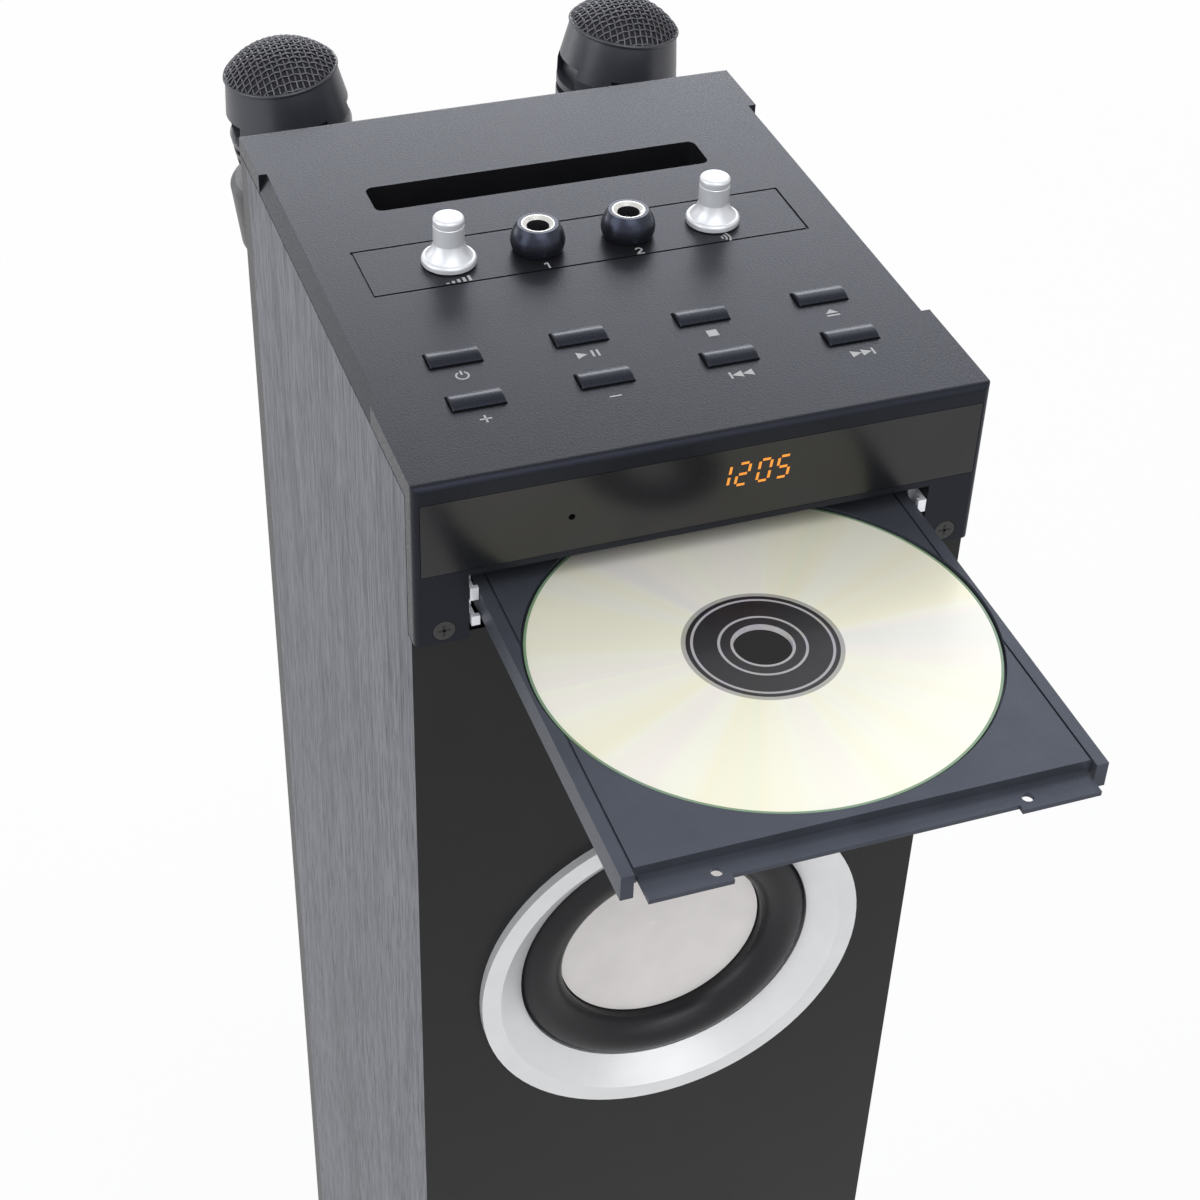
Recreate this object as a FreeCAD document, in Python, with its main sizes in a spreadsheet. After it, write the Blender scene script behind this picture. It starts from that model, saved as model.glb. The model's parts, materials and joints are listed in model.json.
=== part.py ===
import FreeCAD, Part
import math
import os
from types import SimpleNamespace

import Sketcher
from FreeCAD import Placement, Rotation, Vector

# Driving sizes in millimetres and degrees. The tower stands on z = 0 and its front faces -Y. The origin is
# under the middle of the whole object, from the open tray's tabs to the microphone holders.
SIZES = {
    # cabinet
    "body_width": 158,
    "body_depth": 185,
    "body_height": 850,
    "panel": 9,
    "seam": 0.5,
    "foot_height": 8,
    "foot_radius": 11,
    "foot_inset": 24,
    "plinth_height": 18,
    "plinth_overhang": 12,
    "plinth_corner": 14,
    "rear_screw_low": 36,
    "rear_screw_high": 72,
    # console cap and its apron
    "plate": 3,
    "skirt": 6,
    "cap_wall": 3,
    "cap_round": 2,
    "apron_proud": 3.4,
    "apron_height": 50.5,
    "apron_side": 6.2,
    "apron_wall": 3,
    "edge_inset": 2.5,
    "front_ear": 38,
    "rear_ear": 26,
    "mouth_width": 129,
    "mouth_drop": 30,
    "window_width": 154,
    "window_height": 22.3,
    "window_drop": 5.7,
    "window_thick": 2,
    "window_gap": 0.15,
    "sensor_offset": 37.2,
    "sensor_drop": 17.5,
    "sensor_radius": 0.9,
    "display_offset": 13,
    "display_drop": 14,
    "display_width": 28,
    "display_height": 12,
    "display_depth": 6,
    "board_thick": 1.6,
    "board_margin": 9,
    "stand_width": 103,
    "stand_gap": 14,
    "stand_back": 139,
    "stand_deep": 12,
    "stand_wall": 2,
    "stand_corner": 2.5,
    "outline_width": 129.4,
    "outline_depth": 24.8,
    "outline_back": 99.9,
    "outline_line": 0.7,
    "outline_deep": 0.4,
    # buttons and the board under them
    "button_length": 14.5,
    "button_width": 7,
    "button_rise": 1.6,
    "button_shoulder": 0.5,
    "button_round": 0.5,
    "button_gap": 0.25,
    "button_lip": 0.8,
    "button_lip_thick": 1.4,
    "button_travel": 1,
    "button_pitch": 35,
    "button_row_back": 32.3,
    "button_row_pitch": 20.5,
    "stem_radius": 1.5,
    "switch_size": 6,
    "switch_height": 1.4,
    "board_drop": 10,
    "boss_radius": 3,
    # knobs, potentiometers and jacks
    "controls_back": 99.7,
    "knob_spacing": 79,
    "knob_base_radius": 7.8,
    "knob_base_height": 1.9,
    "knob_base_round": 1,
    "knob_flare": 4.2,
    "knob_flare_round": 8,
    "knob_radius": 4.4,
    "knob_height": 14.5,
    "knob_groove": 0.15,
    "knob_ring_drop": 2.4,
    "knob_edge": 1,
    "knob_lift": 0.4,
    "shaft_radius": 3,
    "shaft_fit": 0.05,
    "pot_size": 17,
    "pot_height": 7,
    "pot_bush": 3.9,
    "jack_spacing": 27,
    "jack_bore": 3.2,
    "jack_bush": 4.7,
    "jack_rise": 8,
    "jack_cone": 0.8,
    "jack_lip": 0.3,
    "jack_depth": 21,
    "jack_body": 14,
    "collar_radius": 7.8,
    "collar_foot": 6.9,
    "collar_belly": 5.5,
    "collar_shoulder": 3,
    "collar_rim": 1,
    # disc, tray and loader
    "disc_radius": 60,
    "disc_hole": 7.5,
    "disc_thick": 1.2,
    "disc_out": 40.1,
    "tray_drop": 36.4,
    "tray_width": 123.2,
    "tray_plate": 4.1,
    "tray_lead": 63.2,
    "tray_tail": 92,
    "tray_travel": 114,
    "rail_width": 3.2,
    "rail_height": 7.3,
    "rail_nose": 2.2,
    "groove_width": 0.6,
    "well_gap": 0.7,
    "well_depth": 2,
    "small_well": 41,
    "spindle_slot": 19,
    "slot_tail": 58,
    "tongue_half": 57,
    "tongue_reach": 6.2,
    "tongue_drop": 2.8,
    "tab_width": 20.7,
    "tab_reach": 1.8,
    "tab_hole": 1.5,
    "tab_hole_reach": 4.3,
    "run_gap": 0.3,
    "seat_gap": 0.1,
    "chassis_wall": 3.4,
    "chassis_base": 2,
    "chassis_drop": 60,
    "chassis_gap": 3.5,
    "ledge_width": 4.5,
    "bracket_thick": 1.2,
    "bracket_flange": 12,
    "finger_height": 4,
    "gear_module": 1,
    "gear_teeth": 24,
    "pinion_teeth": 16,
    "addendum": 0.8,
    "dedendum": 1.25,
    "backlash": 0.3,
    "gear_height": 5,
    "gear_post": 2.5,
    "gear_from_front": 32,
    "rack_offset": 44,
    "rack_teeth": 39,
    "rack_back": 3.5,
    "motor_radius": 10,
    "motor_shaft": 1.5,
    "traverse_half": 38,
    "traverse_thick": 1.5,
    "spindle_motor_radius": 12,
    "spindle_motor_height": 6,
    "turntable_radius": 14.5,
    "turntable_height": 3,
    "hub_height": 3.2,
    "hub_tip": 5.2,
    "rod_radius": 1.5,
    "rod_spacing": 44,
    "traverse_gap": 7.6,
    "rod_lift": 5,
    "sled_length": 22,
    "sled_height": 6.4,
    "lens_radius": 4,
    "lens_height": 3,
    "bridge_width": 28,
    "bridge_thick": 1,
    "puck_neck": 8.6,
    "puck_radius": 12.5,
    "puck_flange": 1.2,
    # drivers
    "driver_drop": 197.3,
    "driver_pitch": 200,
    "ring_radius": 61.1,
    "ring_crest_radius": 55.3,
    "ring_inner_radius": 46.9,
    "ring_edge": 2.8,
    "ring_proud": 3,
    "ring_inset": 3.4,
    "ring_wall": 1.8,
    "cutout_radius": 56,
    "cone_radius": 32.6,
    "cone_inset": 9.1,
    "cone_dish": 6,
    "cone_thick": 1,
    "cone_gap": 0.4,
    "surround_thick": 1,
    "coil_radius": 12.9,
    "coil_wall": 0.9,
    "coil_length": 32,
    "basket_radius": 64,
    "basket_flange": 2.5,
    "basket_depth": 31,
    "basket_wall": 1.5,
    "basket_rear_radius": 26,
    "basket_window": 31,
    "basket_band": 3.7,
    "basket_slot": 12.4,
    "magnet_radius": 32,
    "magnet_thick": 15,
    "spider_depth": 17,
    # rear and inside
    "inlet_height": 120,
    "inlet_width": 46,
    "inlet_tall": 30,
    "inlet_plate": 2,
    "inlet_body": 26,
    "inlet_body_tall": 17,
    "inlet_deep": 14,
    "port_height": 220,
    "port_radius": 22,
    "port_wall": 2,
    "port_flange": 7,
    "port_length": 60,
    "amp_height": 330,
    "amp_width": 110,
    "amp_tall": 150,
    "amp_standoff": 8,
    "sink_width": 54,
    "sink_tall": 75,
    "sink_depth": 24,
    "sink_base": 3.4,
    "fin_pitch": 9,
    "fin_thick": 3.2,
    "capacitor_radius": 7.7,
    "capacitor_length": 24,
    "capacitor_spread": 82,
    "transformer_width": 57,
    "transformer_depth": 48,
    "transformer_height": 44,
    "core_depth": 24,
    "core_foot": 9,
    "core_foot_thick": 1.6,
    "winding_width": 28,
    "winding_tall": 29,
    # microphones and their holders
    "mic_spread": 115,
    "mic_behind": 35.6,
    "mic_rise": 1.5,
    "mic_lean": 7,
    "mic_rim": 17.6,
    "mic_dome": 8,
    "mic_mesh": 1,
    "mic_shoulder": 20,
    "mic_shoulder_drop": 15,
    "mic_vent_drop": 34,
    "mic_vent_radius": 18.5,
    "mic_seat_drop": 60,
    "mic_seat_radius": 16,
    "mic_neck_drop": 80,
    "mic_neck_radius": 13.6,
    "mic_end_radius": 11.5,
    "mic_length": 190,
    "mic_cord_hole": 3,
    "mic_cord_deep": 5,
    "mic_slot_drop": 12,
    "mic_slot_height": 7.5,
    "vent_height": 2.2,
    "vent_pitch": 4.2,
    "vent_deep": 3,
    "toggle_drop": 105,
    "toggle_width": 5,
    "toggle_length": 8,
    "toggle_rise": 1.6,
    "toggle_travel": 4,
    "holder_top": 36,
    "holder_height": 24,
    "holder_radius": 23,
    "holder_arm": 24,
    "holder_arm_tall": 16,
    "holder_plate": 4,
    "holder_foot": 34,
    # screws
    "screw_radius": 1.5,
    "screw_length": 13,
    "screw_head_radius": 3,
    "screw_head": 1.6,
    "screw_edge": 4.5,
    "apron_screw_drop": 46.5,
    "apron_screw_spread": 142.4,
}

BUTTON_COLUMNS = (-1.5, -0.5, 0.5, 1.5)
BUTTON_ROWS = (
    (1, ("power_button", "play_button", "stop_button", "eject_button")),
    (0, ("volume_up_button", "volume_down_button", "previous_button", "next_button")),
)
SIDES = (("left", -1), ("right", 1))
PRESSURE_ANGLE = math.radians(20)
FLANK_STEPS = 6
SINK_FINS = 5


class Size:
    """A number that remembers how it was worked out from the cells of the sheet."""

    def __init__(self, value, text):
        self.value = float(value)
        self.text = text

    def __add__(self, other):
        other = size(other)
        return Size(self.value + other.value, f"({self.text} + {other.text})")

    def __sub__(self, other):
        other = size(other)
        return Size(self.value - other.value, f"({self.text} - {other.text})")

    def __mul__(self, other):
        other = size(other)
        return Size(self.value * other.value, f"({self.text} * {other.text})")

    def __truediv__(self, other):
        other = size(other)
        return Size(self.value / other.value, f"({self.text} / {other.text})")

    def __neg__(self):
        return Size(-self.value, f"(-1 * {self.text})")

    __radd__ = __add__
    __rmul__ = __mul__

    def __rsub__(self, other):
        return size(other) - self


def size(item):
    """Return item as a Size, so that plain numbers can stand in a sum."""
    if isinstance(item, Size):
        return item
    return Size(item, f"({float(item)})")


def sine(angle):
    return Size(math.sin(math.radians(angle.value)), f"sin({angle.text})")


def cosine(angle):
    return Size(math.cos(math.radians(angle.value)), f"cos({angle.text})")


doc = FreeCAD.newDocument("TowerSpeaker")
sheet = doc.addObject("Spreadsheet::Sheet", "dims")
for row, (alias, number) in enumerate(SIZES.items(), 1):
    sheet.set(f"A{row}", alias)
    sheet.set(f"B{row}", str(number))
    sheet.setAlias(f"B{row}", alias)
doc.recompute()
D = SimpleNamespace(**{alias: Size(sheet.get(alias), f"dims.{alias}") for alias in SIZES})
NODES = []

# Planes that several pieces share.
half_width = D.body_width / 2
inner_half = half_width - D.panel
reach_front = D.apron_proud + D.disc_out + D.tray_lead + D.tongue_reach + D.tab_reach
reach_back = D.mic_behind + D.holder_radius
cabinet_y = (reach_front - reach_back) / 2
front = cabinet_y - D.body_depth / 2
back = cabinet_y + D.body_depth / 2
apron_front = front - D.apron_proud
apron_back = apron_front + D.apron_side
top = D.body_height
plate_under = top - D.plate
panel_top = top - D.skirt - D.seam
apron_bottom = top - D.apron_height
cabinet_bottom = D.foot_height + D.plinth_height
baffle_back = front + D.panel
rear_inside = back - D.panel

# The loader's levels and places, with the tray open as at rest.
disc_y = apron_front - D.disc_out
tray_top = top - D.tray_drop
tray_half = D.tray_width / 2
tray_front = disc_y - D.tray_lead
tray_rear = disc_y + D.tray_tail
plate_bottom = tray_top - D.tray_plate
rail_bottom = tray_top - D.rail_height
spindle_y = disc_y + D.tray_travel
base_top = top - D.chassis_drop
chassis_front = baffle_back + D.seam
chassis_back = rear_inside - D.chassis_gap
wall_inside = tray_half + D.seam
wall_outside = wall_inside + D.chassis_wall
wall_top = tray_top + D.chassis_wall
gear_radius = D.gear_module * D.gear_teeth / 2
pinion_radius = D.gear_module * D.pinion_teeth / 2
gear_x = gear_radius - D.rack_offset
gear_y = chassis_front + D.gear_from_front
gear_top = plate_bottom - D.seam
gear_bottom = gear_top - D.gear_height
pinion_x = gear_x + gear_radius + pinion_radius
traverse_top = base_top + D.traverse_thick

# The microphones' own axis, leaning outwards from the holder.
mic_y = back + D.mic_behind
mic_rim_z = top + D.mic_rise


def bind(item, prop, value):
    item.setExpression(prop, size(value).text)


def place(item, x, y, z):
    for letter, value in zip("xyz", (x, y, z)):
        bind(item, f"Placement.Base.{letter}", value)


def box(name, x, y, z):
    """A block between low and high limits along each axis."""
    item = doc.addObject("Part::Box", name)
    for prop, (low, high) in zip(("Length", "Width", "Height"), (x, y, z)):
        bind(item, prop, size(high) - low)
    place(item, x[0], y[0], z[0])
    return item


AXIS_TURNS = {
    "Z": Rotation(),
    "Y": Rotation(Vector(1, 0, 0), -90),
    "X": Rotation(Vector(0, 1, 0), 90),
}


def cylinder(name, axis, start, radius, length):
    """A round bar that runs from its start point along the positive axis."""
    item = doc.addObject("Part::Cylinder", name)
    item.Placement = Placement(Vector(), AXIS_TURNS[axis])
    bind(item, "Radius", radius)
    bind(item, "Height", length)
    place(item, *start)
    return item


def frustum(name, foot, low_radius, high_radius, height):
    """An upright blunt cone on the given point."""
    item = doc.addObject("Part::Cone", name)
    bind(item, "Radius1", low_radius)
    bind(item, "Radius2", high_radius)
    bind(item, "Height", height)
    place(item, *foot)
    return item


def cut(name, base, *tools):
    item = doc.addObject("Part::Cut", name)
    item.Base = base
    item.Tool = tools[0] if len(tools) == 1 else fuse(f"{name}_tools", *tools)
    return item


def fuse(name, *shapes):
    item = doc.addObject("Part::MultiFuse", name)
    item.Shapes = list(shapes)
    item.Refine = True
    return item


def group(name, *shapes):
    item = doc.addObject("Part::Compound", name)
    item.Links = list(shapes)
    return item


def node(item, label):
    """Name a finished sub-part; its label is also its file's name."""
    item.Label = label
    NODES.append(item)
    return item


def new_sketch(body, role, offset):
    plane = next(f for f in body.Origin.OriginFeatures if f.Role == role)
    sketch = body.newObject("Sketcher::SketchObject", f"{body.Name}_sketch")
    sketch.AttachmentSupport = [(plane, "")]
    sketch.MapMode = "FlatFace"
    bind(sketch, "AttachmentOffset.Base.z", offset)
    return sketch


def fix_point(sketch, geometry, position, point):
    for kind, value in zip(("DistanceX", "DistanceY"), point):
        value = size(value)
        index = sketch.addConstraint(Sketcher.Constraint(kind, -1, 1, geometry, position, value.value))
        sketch.setExpression(f"Constraints[{index}]", value.text)


def flat(point):
    return Vector(size(point[0]).value, size(point[1]).value, 0)


def arc_between(start, end, radius, side):
    """The short arc from start to end, its bulge on the given side (1 left, -1 right)."""
    along = (end - start) * 0.5
    left = Vector(-along.y, along.x, 0).normalize()
    drop = math.sqrt(radius ** 2 - along.Length ** 2)
    centre = start + along - left * (side * drop)
    circle = Part.Circle(centre, Vector(0, 0, 1), radius)
    first, last = (end, start) if side > 0 else (start, end)
    return Part.ArcOfCircle(circle, circle.parameter(first), circle.parameter(last))


def polygon(sketch, points, arcs=None):
    """A closed outline; arcs maps an edge's number to its radius and bulge side."""
    arcs = arcs or {}
    offset = sketch.GeometryCount
    count = len(points)
    ends = []
    for i, point in enumerate(points):
        start, end = flat(point), flat(points[(i + 1) % count])
        if i in arcs:
            radius, side = arcs[i]
            sketch.addGeometry(arc_between(start, end, radius.value, side), False)
            ends.append((2, 1) if side > 0 else (1, 2))
        else:
            sketch.addGeometry(Part.LineSegment(start, end), False)
            ends.append((1, 2))
    for i in range(count):
        after = (i + 1) % count
        sketch.addConstraint(
            Sketcher.Constraint("Coincident", offset + i, ends[i][1], offset + after, ends[after][0])
        )
    for i, point in enumerate(points):
        fix_point(sketch, offset + i, ends[i][0], point)
    for i, (radius, _) in arcs.items():
        index = sketch.addConstraint(Sketcher.Constraint("Radius", offset + i, radius.value))
        sketch.setExpression(f"Constraints[{index}]", radius.text)


def rectangle(sketch, x, y):
    polygon(sketch, ((x[0], y[0]), (x[1], y[0]), (x[1], y[1]), (x[0], y[1])))


def rounded(sketch, x, y, corner):
    """A rectangle with quarter-circle corners."""
    points = (
        (x[0] + corner, y[0]),
        (x[1] - corner, y[0]),
        (x[1], y[0] + corner),
        (x[1], y[1] - corner),
        (x[1] - corner, y[1]),
        (x[0] + corner, y[1]),
        (x[0], y[1] - corner),
        (x[0], y[0] + corner),
    )
    polygon(sketch, points, {edge: (size(corner), -1) for edge in range(1, len(points), 2)})


def circle(sketch, centre, radius):
    radius = size(radius)
    index = sketch.addGeometry(Part.Circle(flat(centre), Vector(0, 0, 1), radius.value), False)
    fix_point(sketch, index, 3, centre)
    bound = sketch.addConstraint(Sketcher.Constraint("Radius", index, radius.value))
    sketch.setExpression(f"Constraints[{bound}]", radius.text)


# Where the sketch of each origin plane lies within the span of the extrusion, seen along the plane's normal.
SKETCH_OFFSETS = {
    "XY_Plane": lambda low, high: size(low),
    "XZ_Plane": lambda low, high: -size(high),
    "YZ_Plane": lambda low, high: size(low),
}


def extrude(body, role, span, draw, remove=False):
    """Pad or pocket what draw puts in a sketch, over the span along the plane's axis."""
    low, high = span
    sketch = new_sketch(body, role, SKETCH_OFFSETS[role](low, high))
    draw(sketch)
    kind = "Pocket" if remove else "Pad"
    feature = body.newObject(f"PartDesign::{kind}", f"{body.Name}_{kind.lower()}")
    feature.Profile = sketch
    feature.Reversed = remove
    bind(feature, "Length", size(high) - low)
    return feature


def revolve(body, points, arcs=None):
    """Turn an outline of radius and height about the body's own Z axis."""
    sketch = new_sketch(body, "XZ_Plane", 0)
    polygon(sketch, points, arcs)
    feature = body.newObject("PartDesign::Revolution", f"{body.Name}_revolution")
    feature.Profile = sketch
    feature.ReferenceAxis = (sketch, ["V_Axis"])
    feature.Angle = 360
    return feature


def fillet(body, feature, radius, wanted):
    doc.recompute()
    names = [f"Edge{i}" for i, edge in enumerate(feature.Shape.Edges, 1) if wanted(edge)]
    item = body.newObject("PartDesign::Fillet", f"{body.Name}_fillet")
    item.Base = (feature, names)
    bind(item, "Radius", radius)
    return item


def new_body(name, x=0, y=0, z=0, turn=Rotation()):
    body = doc.addObject("PartDesign::Body", f"{name}_body")
    body.Placement = Placement(Vector(), turn)
    place(body, x, y, z)
    return body


def same(a, b):
    return abs(a - size(b).value) < 1e-4


def both(half):
    """The limits of something centred on zero."""
    return (-size(half), size(half))


def about(centre, half):
    return (size(centre) - half, size(centre) + half)


# Cabinet


def side_panel(name, sign):
    """A wood-grain side, mitred to the baffle and cut back for the apron."""
    body = new_body(name)
    outline = (
        (half_width * sign, front),
        (half_width * sign, back - D.panel),
        (inner_half * sign, back - D.panel),
        (inner_half * sign, baffle_back),
    )
    extrude(body, "XY_Plane", (cabinet_bottom, panel_top), lambda s: polygon(s, outline))
    apron_room = (apron_bottom - D.seam, top)
    extrude(
        body,
        "XZ_Plane",
        (apron_front, apron_back + D.seam),
        lambda s: rectangle(s, both(half_width + D.seam), apron_room),
        remove=True,
    )
    return body


def driver_heights():
    first = top - D.driver_drop
    return (first, first - D.driver_pitch)


def front_baffle():
    body = new_body("front_baffle")
    outline = (
        (-half_width, front),
        (half_width, front),
        (inner_half, baffle_back),
        (-inner_half, baffle_back),
    )
    extrude(body, "XY_Plane", (cabinet_bottom, apron_bottom - D.seam), lambda s: polygon(s, outline))

    def holes(sketch):
        for height in driver_heights():
            circle(sketch, (0, height), D.cutout_radius)

    extrude(body, "XZ_Plane", (front, baffle_back), holes, remove=True)
    return body


def rear_screw_places():
    """Screws along both edges of the rear panel, into the side panels' rear edges."""
    low = cabinet_bottom + D.rear_screw_low
    high = panel_top - D.rear_screw_high
    middle = (low + high) / 2
    x = half_width - D.screw_edge
    return [(x * sign, z) for _, sign in SIDES for z in (low, middle, high)]


def holder_centre_x(sign):
    drop = D.holder_top + D.holder_height / 2
    return (D.mic_spread / 2 - drop * sine(D.mic_lean)) * sign


def holder_middle_z():
    drop = D.holder_top + D.holder_height / 2
    return mic_rim_z - drop * cosine(D.mic_lean)


def holder_screw_places():
    reach = D.holder_foot / 2 - D.screw_edge
    return [
        (holder_centre_x(sign), holder_middle_z() + reach * way) for _, sign in SIDES for way in (-1, 1)
    ]


def rear_panel():
    body = new_body("rear_panel")
    outline = lambda s: rectangle(s, both(half_width), (cabinet_bottom, panel_top))
    extrude(body, "XZ_Plane", (rear_inside, back), outline)

    def holes(sketch):
        rectangle(sketch, both(D.inlet_body / 2), about(D.inlet_height, D.inlet_body_tall / 2))
        circle(sketch, (0, D.port_height), D.port_radius + D.port_wall)
        for place_xz in rear_screw_places() + holder_screw_places():
            circle(sketch, place_xz, D.screw_radius)

    extrude(body, "XZ_Plane", (rear_inside, back), holes, remove=True)
    return body


def drill_side(panel, sign):
    """Pilot holes in a side panel for the rear and apron screws."""
    rear_tip = back - D.screw_length

    def rear_holes(sketch):
        for x, z in rear_screw_places():
            if x.value * sign > 0:
                circle(sketch, (x, z), D.screw_radius)

    extrude(panel, "XZ_Plane", (rear_tip, rear_inside), rear_holes, remove=True)
    apron_hole = (D.apron_screw_spread / 2 * sign, top - D.apron_screw_drop)
    start = apron_back + D.seam
    end = apron_front + D.screw_head + D.screw_length
    extrude(panel, "XZ_Plane", (start, end), lambda s: circle(s, apron_hole, D.screw_radius), remove=True)


def bottom_board():
    body = new_body("bottom_board")
    outline = lambda s: rectangle(s, both(inner_half), (baffle_back, rear_inside))
    extrude(body, "XY_Plane", (cabinet_bottom, cabinet_bottom + D.panel), outline)
    return body


def plinth():
    body = new_body("plinth")
    x = half_width + D.plinth_overhang
    y = D.body_depth / 2 + D.plinth_overhang
    plan = lambda s: rectangle(s, both(x), about(cabinet_y, y))
    pad = extrude(body, "XY_Plane", (D.foot_height, cabinet_bottom), plan)
    upright = lambda edge: abs(edge.Vertexes[0].Z - edge.Vertexes[-1].Z) > 1
    fillet(body, pad, D.plinth_corner, upright)
    return body


def rubber_feet():
    x = half_width + D.plinth_overhang - D.foot_inset
    y = D.body_depth / 2 + D.plinth_overhang - D.foot_inset
    feet = [
        cylinder("foot", "Z", (x * i, cabinet_y + y * j, 0), D.foot_radius, D.foot_height)
        for i in (-1, 1)
        for j in (-1, 1)
    ]
    return group("feet", *feet)


def screw(x, y, z, way):
    """A pan head screw; y is under its head and way is the direction of its tip along Y."""
    head_start = y - D.screw_head if way > 0 else y
    shank_start = y if way > 0 else y - D.screw_length
    head = cylinder("screw_head_disc", "Y", (x, head_start, z), D.screw_head_radius, D.screw_head)
    shank = cylinder("screw_shank", "Y", (x, shank_start, z), D.screw_radius, D.screw_length)
    return fuse("screw", head, shank)


def case_screws():
    screws = [screw(x, back, z, -1) for x, z in rear_screw_places()]
    screws += [screw(x, back + D.holder_plate, z, -1) for x, z in holder_screw_places()]
    for _, sign in SIDES:
        x = D.apron_screw_spread / 2 * sign
        screws.append(screw(x, apron_front + D.screw_head, top - D.apron_screw_drop, 1))
    return group("screws", *screws)


# Console


def button_places():
    for row, names in BUTTON_ROWS:
        y = apron_front + D.button_row_back + D.button_row_pitch * row
        for column, name in zip(BUTTON_COLUMNS, names):
            yield name, D.button_pitch * column, y


def controls_y():
    return apron_front + D.controls_back


def boss_places():
    """The control board hangs on four bosses, between the button columns."""
    y_middle = apron_front + D.button_row_back + D.button_row_pitch / 2
    y_reach = D.button_row_pitch / 2 + D.board_margin
    return [(D.button_pitch * i, y_middle + y_reach * j) for i in (-1, 1) for j in (-1, 1)]


def display_span():
    x = about(D.display_offset, D.display_width / 2)
    z = about(top - D.display_drop, D.display_height / 2)
    return x, z


def display_boss_places():
    """Two bosses behind the apron carry the display's board, one at each end."""
    reach = D.display_width / 2 + D.board_margin / 2
    return [(D.display_offset + reach * i, top - D.display_drop) for i in (-1, 1)]


def display_board_front():
    return apron_front + D.window_thick + D.window_gap + D.display_depth


def console_cap():
    """Top plate with its skirt, the apron below its front edge and everything cut into them."""
    body = new_body("console_cap")
    plan = lambda s: rectangle(s, both(half_width), (apron_front, back))
    extrude(body, "XY_Plane", (top - D.skirt, top), plan)
    face = lambda s: rectangle(s, both(half_width), (apron_bottom, top - D.skirt))
    blank = extrude(body, "XZ_Plane", (apron_front, apron_back), face)

    def outer_edge(edge):
        ends = [v.Point for v in edge.Vertexes]
        at_front = all(same(p.y, apron_front) for p in ends)
        at_back = all(same(p.y, back) for p in ends)
        on_top = all(same(p.z, top) for p in ends)
        at_side = all(same(abs(p.x), half_width) for p in ends) and not same(ends[0].z, ends[-1].z)
        return ((at_front or at_back) and on_top) or (at_front and at_side)

    fillet(body, blank, D.cap_round, outer_edge)

    def bevels(sketch):
        for _, sign in SIDES:
            edge = half_width * sign
            polygon(sketch, ((edge, top), (edge - D.edge_inset * sign, top), (edge, top - D.skirt)))

    extrude(body, "XZ_Plane", (apron_front + D.front_ear, back - D.rear_ear), bevels, remove=True)

    under = lambda s: rectangle(
        s, both(half_width - D.cap_wall), (apron_front + D.apron_wall, back - D.cap_wall)
    )
    extrude(body, "XY_Plane", (top - D.skirt, plate_under), under, remove=True)
    mouth = both(D.mouth_width / 2)
    hollow = lambda s: rectangle(s, mouth, (top - D.mouth_drop, top - D.skirt))
    extrude(body, "XZ_Plane", (apron_front + D.apron_wall, apron_back), hollow, remove=True)
    opening = lambda s: rectangle(s, mouth, (apron_bottom, top - D.mouth_drop))
    extrude(body, "XZ_Plane", (apron_front, apron_back), opening, remove=True)

    window_top = top - D.window_drop + D.window_gap
    window_low = top - D.window_drop - D.window_height - D.window_gap
    recess = lambda s: rectangle(s, both(D.window_width / 2 + D.window_gap), (window_low, window_top))
    recess_depth = D.window_thick + D.window_gap
    extrude(body, "XZ_Plane", (apron_front, apron_front + recess_depth), recess, remove=True)
    display_x, display_z = display_span()
    display_hole = lambda s: rectangle(s, display_x, display_z)
    extrude(body, "XZ_Plane", (apron_front, apron_front + D.apron_wall), display_hole, remove=True)

    stand_y = apron_front + D.stand_back
    stand_floor = top - D.stand_deep
    trough = lambda s: rectangle(
        s, both(D.stand_width / 2 + D.stand_wall), about(stand_y, D.stand_gap / 2 + D.stand_wall)
    )
    extrude(body, "XY_Plane", (stand_floor - D.stand_wall, plate_under), trough)
    stand = lambda s: rounded(s, both(D.stand_width / 2), about(stand_y, D.stand_gap / 2), D.stand_corner)
    extrude(body, "XY_Plane", (stand_floor, top), stand, remove=True)

    def outline(sketch):
        y = apron_front + D.outline_back
        for shrink in (0, 1):
            inset = D.outline_line * shrink
            rectangle(sketch, both(D.outline_width / 2 - inset), about(y, D.outline_depth / 2 - inset))

    extrude(body, "XY_Plane", (top - D.outline_deep, top), outline, remove=True)

    def bosses(sketch):
        for point in boss_places():
            circle(sketch, point, D.boss_radius)

    extrude(body, "XY_Plane", (top - D.board_drop, plate_under), bosses)

    def holes(sketch):
        for _, x, y in button_places():
            rectangle(
                sketch,
                about(x, D.button_length / 2 + D.button_gap),
                about(y, D.button_width / 2 + D.button_gap),
            )
        for _, sign in SIDES:
            circle(sketch, (D.knob_spacing / 2 * sign, controls_y()), D.pot_bush + D.run_gap)
            circle(sketch, (D.jack_spacing / 2 * sign, controls_y()), D.jack_bush + D.run_gap)

    extrude(body, "XY_Plane", (plate_under, top), holes, remove=True)

    def display_bosses(sketch):
        for point in display_boss_places():
            circle(sketch, point, D.boss_radius)

    extrude(body, "XZ_Plane", (apron_front + D.apron_wall, display_board_front()), display_bosses)

    def screw_seats(radius):
        def draw(sketch):
            for _, sign in SIDES:
                circle(sketch, (D.apron_screw_spread / 2 * sign, top - D.apron_screw_drop), radius)

        return draw

    seat = D.screw_head_radius + D.window_gap
    extrude(body, "XZ_Plane", (apron_front, apron_front + D.screw_head), screw_seats(seat), remove=True)
    extrude(body, "XZ_Plane", (apron_front, apron_back), screw_seats(D.screw_radius), remove=True)
    return body


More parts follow.
